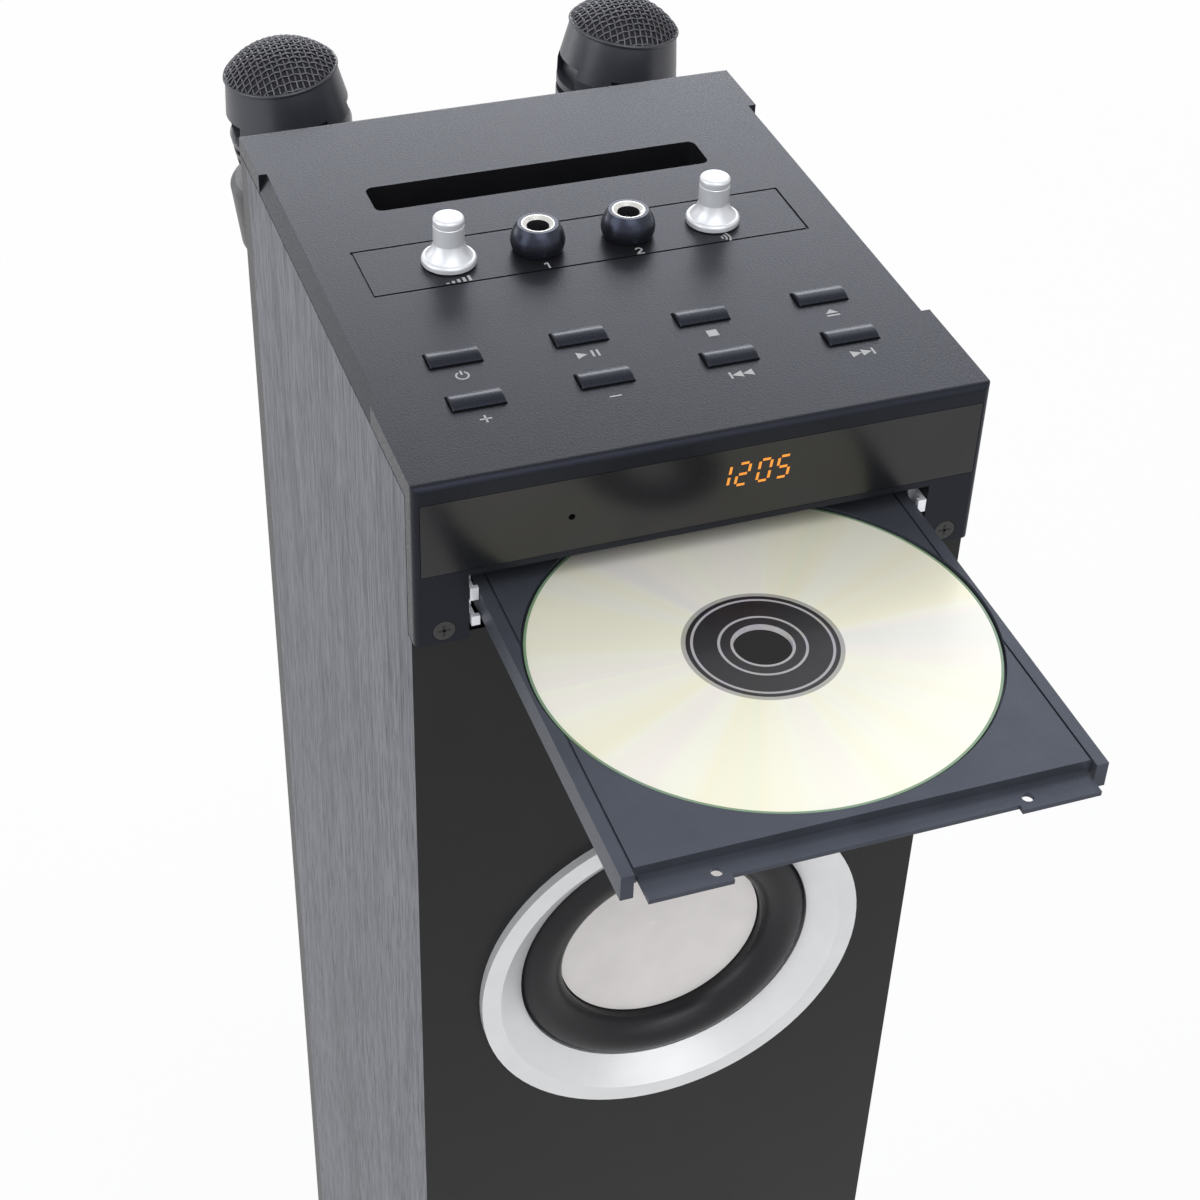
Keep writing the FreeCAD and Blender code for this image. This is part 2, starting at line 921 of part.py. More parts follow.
def display_window():
    body = new_body("display_window")
    z_high = top - D.window_drop
    face = lambda s: rectangle(s, both(D.window_width / 2), (z_high - D.window_height, z_high))
    depth = (apron_front, apron_front + D.window_thick)
    extrude(body, "XZ_Plane", depth, face)
    sensor = (-D.sensor_offset, top - D.sensor_drop)
    extrude(body, "XZ_Plane", depth, lambda s: circle(s, sensor, D.sensor_radius), remove=True)
    return body


def display_module():
    x, z = display_span()
    y_board = display_board_front()
    gap = D.window_gap
    block = box(
        "digit_block",
        (x[0] + gap, x[1] - gap),
        (apron_front + D.window_thick + gap, y_board),
        (z[0] + gap, z[1] - gap),
    )
    board = box(
        "display_board",
        (x[0] - D.board_margin, x[1] + D.board_margin),
        (y_board, y_board + D.board_thick),
        (z[0] - D.boss_radius, z[1] + D.boss_radius),
    )
    return fuse("display_unit", block, board)


def button(name, x, y):
    """A bar with a rounded crown, a lip that holds it under the plate and a stem for its switch."""
    body = new_body(name)
    lip_top = plate_under - D.button_gap
    lip_low = lip_top - D.button_lip_thick
    half = D.button_width / 2
    shoulder = top + D.button_shoulder
    outline = ((y - half, lip_low), (y + half, lip_low), (y + half, shoulder), (y - half, shoulder))
    crown = D.button_rise - D.button_shoulder
    crown_radius = (half * half + crown * crown) / (crown * 2)
    bar = lambda s: polygon(s, outline, {2: (crown_radius, -1)})
    pad = extrude(body, "YZ_Plane", about(x, D.button_length / 2), bar)
    fillet(body, pad, D.button_round, lambda edge: edge.Curve.TypeId == "Part::GeomCircle")
    lip = lambda s: rectangle(
        s, about(x, D.button_length / 2 + D.button_lip), about(y, D.button_width / 2 + D.button_lip)
    )
    extrude(body, "XY_Plane", (lip_low, lip_top), lip)
    switch_top = top - D.board_drop + D.switch_height
    stem_low = switch_top + D.button_travel + D.run_gap
    extrude(body, "XY_Plane", (stem_low, lip_low), lambda s: circle(s, (x, y), D.stem_radius))
    return body


def control_board():
    y_low = apron_front + D.button_row_back - D.button_row_pitch / 2 - D.boss_radius
    y_high = apron_front + D.button_row_back + D.button_row_pitch * 1.5 + D.boss_radius
    x = D.button_pitch * BUTTON_COLUMNS[-1] + D.button_length / 2 + D.boss_radius
    board_top = top - D.board_drop
    pieces = [box("control_sheet", both(x), (y_low, y_high), (board_top - D.board_thick, board_top))]
    for name, bx, by in button_places():
        half = D.switch_size / 2
        height = (board_top, board_top + D.switch_height)
        pieces.append(box(f"{name}_switch", about(bx, half), about(by, half), height))
    return fuse("control_unit", *pieces)


def knob(name, sign):
    """A slim turned knob with a ring near its top, on a flared base."""
    body = new_body(name, D.knob_spacing / 2 * sign, controls_y(), top)
    foot = D.knob_lift
    flare_low = foot + D.knob_base_height
    flare_high = flare_low + D.knob_flare
    groove = D.knob_groove
    ring = D.knob_height - D.knob_ring_drop
    bore_top = D.knob_height - D.plate
    soft = D.knob_edge
    base_round = D.knob_base_round
    points = (
        (D.shaft_radius, foot),
        (D.knob_base_radius, foot),
        (D.knob_base_radius, flare_low - base_round),
        (D.knob_base_radius - base_round, flare_low),
        (D.knob_radius, flare_high),
        (D.knob_radius, ring - groove * 2),
        (D.knob_radius - groove, ring - groove),
        (D.knob_radius - groove, ring + groove),
        (D.knob_radius, ring + groove * 2),
        (D.knob_radius, D.knob_height - soft),
        (D.knob_radius - soft, D.knob_height),
        (0, D.knob_height),
        (0, bore_top),
        (D.shaft_radius, bore_top),
    )
    revolve(body, points, {2: (base_round, -1), 3: (D.knob_flare_round, 1), 9: (soft, -1)})
    return body


def knob_shaft(name, sign):
    start = plate_under - D.pot_height + D.run_gap
    end = top + D.knob_height - D.plate
    return cylinder(
        name, "Z", (D.knob_spacing / 2 * sign, controls_y(), start), D.shaft_radius, end - start
    )


def potentiometer(sign):
    x, y = D.knob_spacing / 2 * sign, controls_y()
    half = D.pot_size / 2
    case = box("pot_case", about(x, half), about(y, half), (plate_under - D.pot_height, plate_under))
    bush = cylinder("pot_bush_tube", "Z", (x, y, plate_under), D.pot_bush, D.plate + D.knob_lift / 2)
    low = plate_under - D.pot_height + D.run_gap - D.shaft_fit
    high = top + D.knob_lift
    bore = cylinder("pot_bore", "Z", (x, y, low), D.shaft_radius + D.shaft_fit, high - low)
    return cut("pot", fuse("pot_blank", case, bush), bore)


def jack_collar(sign):
    """A black barrel-shaped ring round the socket's bush."""
    body = new_body("jack_collar", D.jack_spacing / 2 * sign, controls_y(), top)
    inside = D.jack_bush + D.shaft_fit
    points = (
        (inside, 0),
        (D.collar_foot, 0),
        (D.collar_radius, D.collar_shoulder),
        (inside + D.collar_rim, D.jack_rise),
        (inside, D.jack_rise),
    )
    revolve(body, points, {1: (D.collar_belly, -1), 2: (D.jack_rise, -1)})
    return body


def jack_socket(sign):
    x, y = D.jack_spacing / 2 * sign, controls_y()
    half = D.jack_body / 2
    low = plate_under - D.jack_depth
    case = box("jack_case", about(x, half), about(y, half), (low, plate_under))
    mouth = top + D.jack_rise
    bush = cylinder("jack_bush_tube", "Z", (x, y, plate_under), D.jack_bush, mouth - plate_under)
    floor = low + D.plate
    bore = cylinder("jack_bore_hole", "Z", (x, y, floor), D.jack_bore, mouth - floor)
    lead_foot = (x, y, mouth - D.jack_cone)
    lead = frustum("jack_lead", lead_foot, D.jack_bore, D.jack_bush - D.jack_lip, D.jack_cone)
    return cut("jack", fuse("jack_blank", case, bush), bore, lead)


# Loader


def disc_tray():
    """Flat tray with a disc well, side rails and a lower front tongue with two tabs."""
    body = new_body("disc_tray")
    plan = lambda s: rectangle(s, both(tray_half), (tray_front, tray_rear))
    extrude(body, "XY_Plane", (plate_bottom, tray_top), plan)

    def rails(sketch):
        for _, sign in SIDES:
            outer, inner = tray_half * sign, (tray_half - D.rail_width) * sign
            x = sorted((outer, inner), key=lambda v: v.value)
            rectangle(sketch, x, (tray_front - D.rail_nose, tray_rear))

    extrude(body, "XY_Plane", (rail_bottom, tray_top), rails)

    def tongue(sketch):
        lip = tray_front - D.tongue_reach
        tip = lip - D.tab_reach
        inner = D.tongue_half - D.tab_width
        points = (
            (-D.tongue_half, tray_front),
            (-D.tongue_half, tip),
            (-inner, tip),
            (-inner, lip),
            (inner, lip),
            (inner, tip),
            (D.tongue_half, tip),
            (D.tongue_half, tray_front),
        )
        polygon(sketch, points)
        for _, sign in SIDES:
            hole_x = (inner + D.tab_hole * 2) * sign
            circle(sketch, (hole_x, tray_front - D.tab_hole_reach), D.tab_hole)

    extrude(body, "XY_Plane", (plate_bottom, tray_top - D.tongue_drop), tongue)

    def grooves(sketch):
        for _, sign in SIDES:
            centre = (tray_half - D.rail_width - D.groove_width / 2) * sign
            rectangle(sketch, about(centre, D.groove_width / 2), (tray_front, tray_rear))

    extrude(body, "XY_Plane", (tray_top - D.groove_width, tray_top), grooves, remove=True)
    well = lambda s: circle(s, (0, disc_y), D.disc_radius + D.well_gap)
    floor = tray_top - D.well_depth
    extrude(body, "XY_Plane", (floor, tray_top), well, remove=True)
    small = lambda s: circle(s, (0, disc_y), D.small_well)
    extrude(body, "XY_Plane", (floor - D.well_depth / 2, floor), small, remove=True)

    def slot(sketch):
        r = D.spindle_slot
        points = ((-r, disc_y), (r, disc_y), (r, disc_y + D.slot_tail), (-r, disc_y + D.slot_tail))
        polygon(sketch, points)

    extrude(body, "XY_Plane", (plate_bottom, tray_top), slot, remove=True)
    nose = lambda s: circle(s, (0, disc_y), D.spindle_slot)
    extrude(body, "XY_Plane", (plate_bottom, tray_top), nose, remove=True)
    return body


def compact_disc():
    body = new_body("compact_disc")
    low = tray_top - D.well_depth + D.seat_gap

    def rings(sketch):
        circle(sketch, (0, disc_y), D.disc_radius)
        circle(sketch, (0, disc_y), D.disc_hole)

    extrude(body, "XY_Plane", (low, low + D.disc_thick), rings)
    return body


def solid_from_points(name, points, low, height):
    """A straight-sided solid over a closed outline of plain coordinates."""
    corners = [Vector(x, y, low) for x, y in points]
    face = Part.Face(Part.makePolygon(corners + corners[:1]))
    item = doc.addObject("Part::Feature", name)
    item.Shape = face.extrude(Vector(0, 0, height))
    return item


def gear_outline(teeth, phase):
    """Involute flanks with the backlash taken off both sides of each tooth."""
    module = D.gear_module.value
    pitch = module * teeth / 2
    base = pitch * math.cos(PRESSURE_ANGLE)
    tip = pitch + module * D.addendum.value
    root = pitch - module * D.dedendum.value
    involute = lambda angle: math.tan(angle) - angle
    half_tooth = math.pi / (2 * teeth) - D.backlash.value / (2 * pitch)
    low = max(base, root)
    flank = []
    for step in range(FLANK_STEPS + 1):
        r = low + (tip - low) * step / FLANK_STEPS
        turn = half_tooth + involute(PRESSURE_ANGLE) - involute(math.acos(base / r))
        flank.append((r, turn))
    side = [(root, flank[0][1])] + flank
    points = []
    for tooth in range(teeth):
        middle = phase + 2 * math.pi * tooth / teeth
        for r, turn in side:
            points.append((r * math.cos(middle - turn), r * math.sin(middle - turn)))
        for r, turn in reversed(side):
            points.append((r * math.cos(middle + turn), r * math.sin(middle + turn)))
    return points


def drive_gear():
    teeth = int(D.gear_teeth.value)
    low = gear_bottom.value
    wheel = solid_from_points("drive_wheel", gear_outline(teeth, 0.0), low, D.gear_height.value)
    wheel.Placement = Placement(Vector(gear_x.value, gear_y.value, 0), Rotation())
    bore = cylinder(
        "drive_bore", "Z", (gear_x, gear_y, gear_bottom), D.gear_post + D.shaft_fit, D.gear_height
    )
    return cut("drive", wheel, bore)


def motor_pinion():
    """The pinion with its shaft, which reaches down into the loading motor."""
    teeth = int(D.pinion_teeth.value)
    half_pitch = math.pi / teeth
    outline = gear_outline(teeth, math.pi + half_pitch)
    wheel = solid_from_points("pinion_wheel", outline, gear_bottom.value, D.gear_height.value)
    wheel.Placement = Placement(Vector(pinion_x.value, gear_y.value, 0), Rotation())
    start = base_top + D.chassis_base
    shaft = cylinder("pinion_shaft", "Z", (pinion_x, gear_y, start), D.motor_shaft, gear_top - start)
    return fuse("pinion", wheel, shaft)


def tray_rack():
    """Straight teeth under the tray, with a gap facing the gear's centre at rest."""
    module = D.gear_module.value
    pitch = math.pi * module
    line = -D.rack_offset.value
    tip = line + module * D.addendum.value
    root = line - module * D.dedendum.value
    rear = line - module * D.dedendum.value - D.rack_back.value
    slope = math.tan(PRESSURE_ANGLE)
    half = pitch / 4 - D.backlash.value / 2
    last = gear_y.value + pitch
    first = last - pitch * D.rack_teeth.value
    points = [(rear, first), (root, first)]
    for tooth in range(int(D.rack_teeth.value)):
        middle = first + pitch * (tooth + 0.5)
        root_half = half + (line - root) * slope
        tip_half = half - (tip - line) * slope
        points += [(root, middle - root_half), (tip, middle - tip_half)]
        points += [(tip, middle + tip_half), (root, middle + root_half)]
    points += [(root, last), (rear, last)]
    return solid_from_points("rack", points, gear_bottom.value, plate_bottom.value - gear_bottom.value)


def loading_motor():
    start = base_top
    height = gear_bottom - D.run_gap - start
    case = cylinder("motor_case", "Z", (pinion_x, gear_y, start), D.motor_radius, height)
    hollow = cylinder(
        "motor_bore",
        "Z",
        (pinion_x, gear_y, start + D.chassis_base - D.shaft_fit),
        D.motor_shaft + D.shaft_fit,
        gear_bottom - start,
    )
    return cut("motor", case, hollow)


def loader_chassis():
    """Base, side walls with a ledge and a lip for each tray rail, rear wall and the gear's post."""
    y = (chassis_front, chassis_back)
    base_low = base_top - D.chassis_base
    pieces = [box("chassis_floor", both(wall_outside), y, (base_low, base_top))]
    ledge_top = rail_bottom - D.run_gap
    lip_low = tray_top + D.run_gap
    ledge_inside = wall_inside - D.ledge_width
    lip_inside = wall_inside - D.rail_width
    for name, sign in SIDES:
        parts = (
            ("wall", (wall_inside, wall_outside), (base_top, wall_top)),
            ("ledge", (ledge_inside, wall_inside), (ledge_top - D.chassis_base, ledge_top)),
            ("lip", (lip_inside, wall_inside), (lip_low, wall_top)),
        )
        for part, limits, z in parts:
            x = sorted((limits[0] * sign, limits[1] * sign), key=lambda v: v.value)
            pieces.append(box(f"{name}_{part}", x, y, z))
    rear = (chassis_back - D.chassis_wall, chassis_back)
    pieces.append(box("chassis_rear", both(wall_inside), rear, (base_top, wall_top)))
    seat_height = gear_bottom - D.run_gap - base_top
    seat = cylinder("gear_seat", "Z", (gear_x, gear_y, base_top), D.gear_post * 2, seat_height)
    post = cylinder("gear_pin", "Z", (gear_x, gear_y, base_top), D.gear_post, gear_top - base_top)
    blank = fuse("chassis_blank", *pieces, seat, post)
    opening_half = D.traverse_half - D.chassis_wall * 2
    opening_y = (traverse_front() + D.chassis_wall * 2, traverse_back() - D.chassis_wall * 2)
    opening = box("traverse_opening", both(opening_half), opening_y, (base_low, base_top))
    return cut("chassis", blank, opening)


def traverse_front():
    return gear_y + D.motor_radius + D.seam


def traverse_back():
    return chassis_back - D.chassis_wall - D.traverse_gap


def rod_start():
    return spindle_y + D.turntable_radius + D.rod_lift


def rod_length():
    return traverse_back() - D.seam - rod_start()


def loader_bracket(name, sign):
    """Steel side bracket: a plate along the chassis, a foot on the cabinet side and a bent front tab.
    Two fingers of the tab reach forward into the mouth, beside the tray's rail."""
    thick = D.bracket_thick
    outer = wall_outside + thick
    low = base_top + D.chassis_base
    tab_front = apron_back + D.run_gap
    finger_outside = D.mouth_width / 2 - D.run_gap
    finger_inside = finger_outside - thick
    tip_inside = tray_half + D.run_gap
    finger = D.finger_height
    upper_z = (tray_top - finger / 2, tray_top + finger / 2)
    lower_z = (rail_bottom - finger / 2, rail_bottom + finger / 4)
    parts = (
        ((wall_outside, outer), (chassis_front, chassis_back), (low, wall_top)),
        ((wall_outside, inner_half), (chassis_front, chassis_back), (low - thick, low)),
        ((inner_half - thick, inner_half), (chassis_front, chassis_back), (low - D.bracket_flange, low)),
        ((wall_outside, outer), (tab_front, chassis_front), (rail_bottom - D.plate, wall_top)),
        ((wall_inside, outer), (tab_front, tab_front + thick), (rail_bottom - D.plate, wall_top)),
        ((finger_inside, finger_outside), (apron_front, tab_front), upper_z),
        ((finger_inside, finger_outside), (apron_front, tab_front), lower_z),
        ((tip_inside, finger_outside), (apron_front, apron_front + thick), upper_z),
        ((tip_inside, finger_outside), (apron_front - thick, apron_front), lower_z),
    )
    pieces = []
    for limits, y, z in parts:
        x = sorted((limits[0] * sign, limits[1] * sign), key=lambda v: v.value)
        pieces.append(box(f"{name}_bracket_leaf", x, y, z))
    return fuse(f"{name}_bracket", *pieces)


def traverse_plate():
    """Steel plate that carries the spindle motor and the blocks of the guide rods."""
    sheet_metal = box(
        "traverse_sheet",
        both(D.traverse_half),
        (traverse_front(), traverse_back()),
        (base_top, traverse_top),
    )
    pieces = [sheet_metal]
    tools = []
    rod_z = traverse_top + D.rod_lift
    block = D.rod_radius * 2
    for _, sign in SIDES:
        x = D.rod_spacing / 2 * sign
        for y in (rod_start(), rod_start() + rod_length() - block):
            pieces.append(box("rod_block", about(x, block), (y, y + block), (traverse_top, rod_z + block)))
        tools.append(cylinder("rod_hole", "Y", (x, rod_start(), rod_z), D.rod_radius, rod_length()))
    return cut("traverse", fuse("traverse_blank", *pieces), *tools)


def spindle_motor():
    low = traverse_top
    case = cylinder("spindle_case", "Z", (0, spindle_y, low), D.spindle_motor_radius, D.spindle_motor_height)
    bore = cylinder(
        "spindle_bore",
        "Z",
        (0, spindle_y, low + D.chassis_base - D.shaft_fit),
        D.motor_shaft + D.shaft_fit,
        D.spindle_motor_height,
    )
    return cut("spindle", case, bore)


def turntable():
    motor_top = traverse_top + D.spindle_motor_height
    low = motor_top + D.run_gap
    shaft_start = traverse_top + D.chassis_base
    platter = cylinder("platter", "Z", (0, spindle_y, low), D.turntable_radius, D.turntable_height)
    shaft = cylinder("platter_shaft", "Z", (0, spindle_y, shaft_start), D.motor_shaft, low - shaft_start)
    foot = (0, spindle_y, low + D.turntable_height)
    hub = frustum("platter_hub", foot, D.disc_hole - D.run_gap, D.hub_tip, D.hub_height)
    return fuse("turntable_unit", platter, shaft, hub)


def guide_rods():
    z = traverse_top + D.rod_lift
    rods = [
        cylinder("rod", "Y", (D.rod_spacing / 2 * sign, rod_start(), z), D.rod_radius, rod_length())
        for _, sign in SIDES
    ]
    return group("rods", *rods)


def pickup_sled():
    z = traverse_top + D.rod_lift
    block = D.rod_radius * 2
    half = D.rod_spacing / 2 + block
    y = (rod_start() + block + D.run_gap, rod_start() + block + D.run_gap + D.sled_length)
    carriage = box("sled_block", both(half), y, about(z, D.sled_height / 2))
    middle = (y[0] + y[1]) / 2
    lens = cylinder("sled_lens", "Z", (0, middle, z + D.sled_height / 2), D.lens_radius, D.lens_height)
    bore = D.rod_radius + D.shaft_fit
    bores = [
        cylinder("sled_bore", "Y", (D.rod_spacing / 2 * sign, y[0], z), bore, D.sled_length)
        for _, sign in SIDES
    ]
    return cut("sled", fuse("sled_blank", carriage, lens), *bores)


def clamp_bridge():
    strap = box(
        "bridge_strap",
        both(wall_outside),
        about(spindle_y, D.bridge_width / 2),
        (wall_top, wall_top + D.bridge_thick),
    )
    hole = cylinder(
        "bridge_hole", "Z", (0, spindle_y, wall_top), D.puck_neck + D.run_gap, D.bridge_thick
    )
    return cut("bridge", strap, hole)


def clamp_puck():
    """The spool that hangs in the bridge, above the path of the disc."""
    low = tray_top + D.run_gap
    neck_top = wall_top + D.bridge_thick + D.run_gap
    lower = cylinder("puck_lower", "Z", (0, spindle_y, low), D.puck_radius, wall_top - D.run_gap - low)
    neck = cylinder("puck_stem", "Z", (0, spindle_y, low), D.puck_neck, neck_top - low)
    upper = cylinder("puck_upper", "Z", (0, spindle_y, neck_top), D.puck_radius, D.puck_flange)
    return fuse("puck", lower, neck, upper)


# Drivers: every outline is radius and height above the baffle's front, with the axis turned to face forwards

FORWARD = Rotation(Vector(1, 0, 0), 90)


def driver_body(name, height):
    return new_body(name, 0, front, height, FORWARD)


def rim_level():
    return -(D.ring_inset + D.ring_wall)


def trim_ring(height):
    body = driver_body("trim_ring", height)
    points = (
        (D.ring_radius, 0),
        (D.ring_radius, D.ring_edge),
        (D.ring_crest_radius, D.ring_proud),
        (D.ring_inner_radius, -D.ring_inset),
        (D.ring_inner_radius, rim_level()),
        (D.ring_inner_radius + D.ring_wall, rim_level()),
        (D.cutout_radius - D.run_gap, 0),
    )
    revolve(body, points)
    return body


def basket(height):
    """Rear-mounted frame with a front rim for the surround and an open cone behind it."""
    body = driver_body("basket", height)
    rim_front = rim_level() - D.surround_thick
    flange_front = -D.panel
    flange_back = flange_front - D.basket_flange
    rear = flange_back - D.basket_depth
    rim_in = D.ring_inner_radius
    wall = D.basket_wall
    points = (
        (rim_in, rim_front),
        (D.cutout_radius - D.run_gap, rim_front),
        (D.cutout_radius - D.run_gap, flange_front),
        (D.basket_radius, flange_front),
        (D.basket_radius, flange_back),
        (rim_in + wall, flange_back),
        (D.basket_rear_radius + wall, rear),
        (D.basket_rear_radius + wall, rear - wall),
        (D.coil_radius + D.run_gap * 2, rear - wall),
        (D.coil_radius + D.run_gap * 2, rear),
        (D.basket_rear_radius, rear),
        (rim_in, flange_back),
    )
    revolve(body, points)
    low = rear + D.basket_band
    high = flange_back - D.basket_band
    reach = D.basket_radius
    half = D.basket_window / 2
    cross = lambda s: rectangle(s, both(half), both(reach))
    extrude(body, "XY_Plane", (spider_level() - D.basket_slot, low), cross, remove=True)
    for turned in (False, True):
        x, y = (reach, half) if turned else (half, reach)
        extrude(body, "XY_Plane", (low, high), lambda s: rectangle(s, both(x), both(y)), remove=True)
    return body


def spider_level():
    return -D.panel - D.basket_flange - D.spider_depth


def magnet(height):
    body = driver_body("magnet", height)
    high = -D.panel - D.basket_flange - D.basket_depth - D.basket_wall
    low = high - D.magnet_thick
    gap_out = D.coil_radius + D.run_gap * 2
    gap_in = D.coil_radius - D.coil_wall - D.run_gap * 2
    gap_low = low + D.plate
    points = (
        (0, low),
        (D.magnet_radius, low),
        (D.magnet_radius, high),
        (gap_out, high),
        (gap_out, gap_low),
        (gap_in, gap_low),
        (gap_in, high),
        (0, high),
    )
    revolve(body, points)
    return body


def surround(height):
    """Half roll of rubber between the cone's edge and the frame's rim."""
    body = driver_body("surround", height)
    seat = rim_level() - D.surround_thick
    inner = D.cone_radius + D.cone_gap
    outer = D.ring_inner_radius
    roll = (outer - inner) / 2
    thick = D.surround_thick
    points = (
        (inner, seat),
        (outer, seat + thick),
        (outer + D.ring_wall, seat + thick),
        (outer + D.ring_wall, seat),
        (outer - thick, seat),
        (inner + thick, seat - thick / 4),
    )
    slant = D.surround_thick / 2
    revolve(body, points, {0: (roll + slant, 1), 4: (roll, -1)})
    return body


def spider(height):
    body = driver_body("spider", height)
    level = spider_level()
    share = D.spider_depth / D.basket_depth
    rim_in = D.ring_inner_radius
    reach = rim_in - (rim_in - D.basket_rear_radius) * share - D.run_gap
    points = (
        (D.coil_radius + D.run_gap, level),
        (reach, level),
        (reach, level + D.surround_thick),
        (D.coil_radius + D.run_gap, level + D.surround_thick),
    )
    revolve(body, points)
    return body


def cone(name, height):
    """Shallow dish with the coil's former on its back."""
    body = driver_body(name, height)
    edge = -D.cone_inset
    middle = edge - D.cone_dish
    neck = middle - D.cone_thick
    tail = neck - D.coil_length
    inner = D.coil_radius - D.coil_wall
    radius = (D.cone_radius * D.cone_radius + D.cone_dish * D.cone_dish) / (D.cone_dish * 2)
    points = (
        (0, middle),
        (D.cone_radius, edge),
        (D.cone_radius, edge - D.cone_thick),
        (D.coil_radius, neck),
        (D.coil_radius, tail),
        (inner, tail),
        (inner, neck),
        (0, neck),
    )
    revolve(body, points, {0: (radius, -1)})
    return body


# Rear and inside


def power_inlet():
    """Rear plate with a two-pin inlet; no lead is fitted."""
    half = D.inlet_body / 2
    tall = D.inlet_body_tall / 2
    z = D.inlet_height
    plate_y = (back, back + D.inlet_plate)
    rim = D.inlet_plate * 2
    face = box("inlet_face", both(D.inlet_width / 2), plate_y, about(z, D.inlet_tall / 2))
    deep = back - D.inlet_deep
    case = box("inlet_case", both(half), (deep, back), about(z, tall))
    socket_floor = deep + D.inlet_plate
    socket = box("inlet_socket", both(half - rim), (socket_floor, plate_y[1]), about(z, tall - rim))
    blank = cut("inlet_blank", fuse("inlet_solid", face, case), socket)
    pin_length = back - D.inlet_plate - socket_floor
    pins = [
        cylinder("inlet_pin", "Y", ((half - rim) * sign / 2, socket_floor, z), D.screw_radius, pin_length)
        for _, sign in SIDES
    ]
    return fuse("inlet", blank, *pins)


def bass_port():
    """Flared tube through the rear panel."""
    body = new_body("bass_port", 0, back, D.port_height, Rotation(Vector(1, 0, 0), -90))
    outer = D.port_radius + D.port_wall
    points = (
        (D.port_radius, -D.port_length),
        (outer, -D.port_length),
        (outer, 0),
        (outer + D.port_flange, 0),
        (outer + D.port_flange, D.port_wall),
        (D.port_radius + D.port_wall, D.port_wall),
        (D.port_radius, 0),
    )
    revolve(body, points)
    return body


def amplifier_board():
    """Circuit board on four standoffs, with a finned heat sink and two capacitors."""
    y_face = rear_inside - D.amp_standoff
    y_low = y_face - D.board_thick
    z = D.amp_height
    x_half, z_half = D.amp_width / 2, D.amp_tall / 2
    pieces = [box("amp_sheet", both(x_half), (y_low, y_face), about(z, z_half))]
    for i in (-1, 1):
        for j in (-1, 1):
            corner = ((x_half - D.board_margin) * i, y_face, z + (z_half - D.board_margin) * j)
            pieces.append(cylinder("amp_standoff_post", "Y", corner, D.boss_radius, D.amp_standoff))
    sink_z = about(z, D.sink_tall / 2)
    for fin in range(SINK_FINS):
        x = D.fin_pitch * (fin - (SINK_FINS - 1) / 2)
        pieces.append(box("sink_fin", about(x, D.fin_thick / 2), (y_low - D.sink_depth, y_low), sink_z))
    pieces.append(box("sink_base", both(D.sink_width / 2), (y_low - D.sink_base, y_low), sink_z))
    for i in (-1, 1):
        can = (D.capacitor_spread / 2 * i, y_low - D.capacitor_length, z)
        pieces.append(cylinder("capacitor", "Y", can, D.capacitor_radius, D.capacitor_length))
    return fuse("amplifier", *pieces)


def transformer():
    low = cabinet_bottom + D.panel
    x, y = D.transformer_width / 2, D.transformer_depth / 2
    core_y = about(cabinet_y, D.core_depth / 2)
    core = box("core", both(x), core_y, (low, low + D.transformer_height))
    middle = low + D.transformer_height / 2
    coil = box("winding", both(D.winding_width / 2), about(cabinet_y, y), about(middle, D.winding_tall / 2))
    feet = box("core_feet", both(x + D.core_foot), core_y, (low, low + D.core_foot_thick))
    return fuse("transformer_unit", core, coil, feet)


# Microphones: outlines are radius and height along the microphone's own axis, from the rim of its mesh


def mic_frame(name, sign):
    body = new_body(name, D.mic_spread / 2 * sign, mic_y, mic_rim_z, Rotation(Vector(0, sign, 0), 1))
    bind(body, "Placement.Rotation.Angle", D.mic_lean)
    return body


def toggle_span():
    """Height limits of the switch's recess and of the switch at rest."""
    low = -D.toggle_drop - D.toggle_length / 2
    high = low + D.toggle_length
    return (low - D.run_gap, high + D.toggle_travel + D.run_gap), (low, high)


def handle_radius(drop):
    """Radius of the tapering handle at a distance below the rim."""
    share = (drop - D.mic_neck_drop) / (D.mic_length - D.mic_neck_drop)
    return D.mic_neck_radius - (D.mic_neck_radius - D.mic_end_radius) * share


def mic_body(name, sign):
    """Tapering handle with a ring of four tall slots under the rim, vents below them and a switch recess."""
    body = mic_frame(name, sign)
    points = (
        (0, 0),
        (D.mic_rim, 0),
        (D.mic_shoulder, -D.mic_shoulder_drop),
        (D.mic_vent_radius, -D.mic_vent_drop),
        (D.mic_seat_radius, -D.mic_seat_drop),
        (D.mic_neck_radius, -D.mic_neck_drop),
        (D.mic_end_radius, -D.mic_length),
        (D.mic_cord_hole, -D.mic_length),
        (D.mic_cord_hole, -D.mic_length + D.mic_cord_deep),
        (0, -D.mic_length + D.mic_cord_deep),
    )
    revolve(body, points)
    vent_start = D.mic_slot_drop + D.mic_slot_height + D.vent_height
    vents = int((D.mic_vent_drop - vent_start).value / D.vent_pitch.value)
    openings = [(D.mic_slot_drop, D.mic_slot_height)]
    openings += [(vent_start + D.vent_pitch * index, D.vent_height) for index in range(vents)]
    near = D.mic_vent_radius - D.vent_deep
    far = D.mic_shoulder + D.seam
    across = both(D.mic_rim / 2)

    def four_ways(sketch):
        for _, way in SIDES:
            reach = sorted((near * way, far * way), key=lambda v: v.value)
            rectangle(sketch, reach, across)
            rectangle(sketch, across, reach)

    for drop, height in openings:
        extrude(body, "XY_Plane", (-drop - height, -drop), four_ways, remove=True)
    recess, _ = toggle_span()
    floor = handle_radius(D.toggle_drop) - D.toggle_rise
    well = lambda s: rectangle(
        s, both(D.toggle_width / 2 + D.run_gap), (floor, D.mic_shoulder)
    )
    extrude(body, "XY_Plane", recess, well, remove=True)
    return body


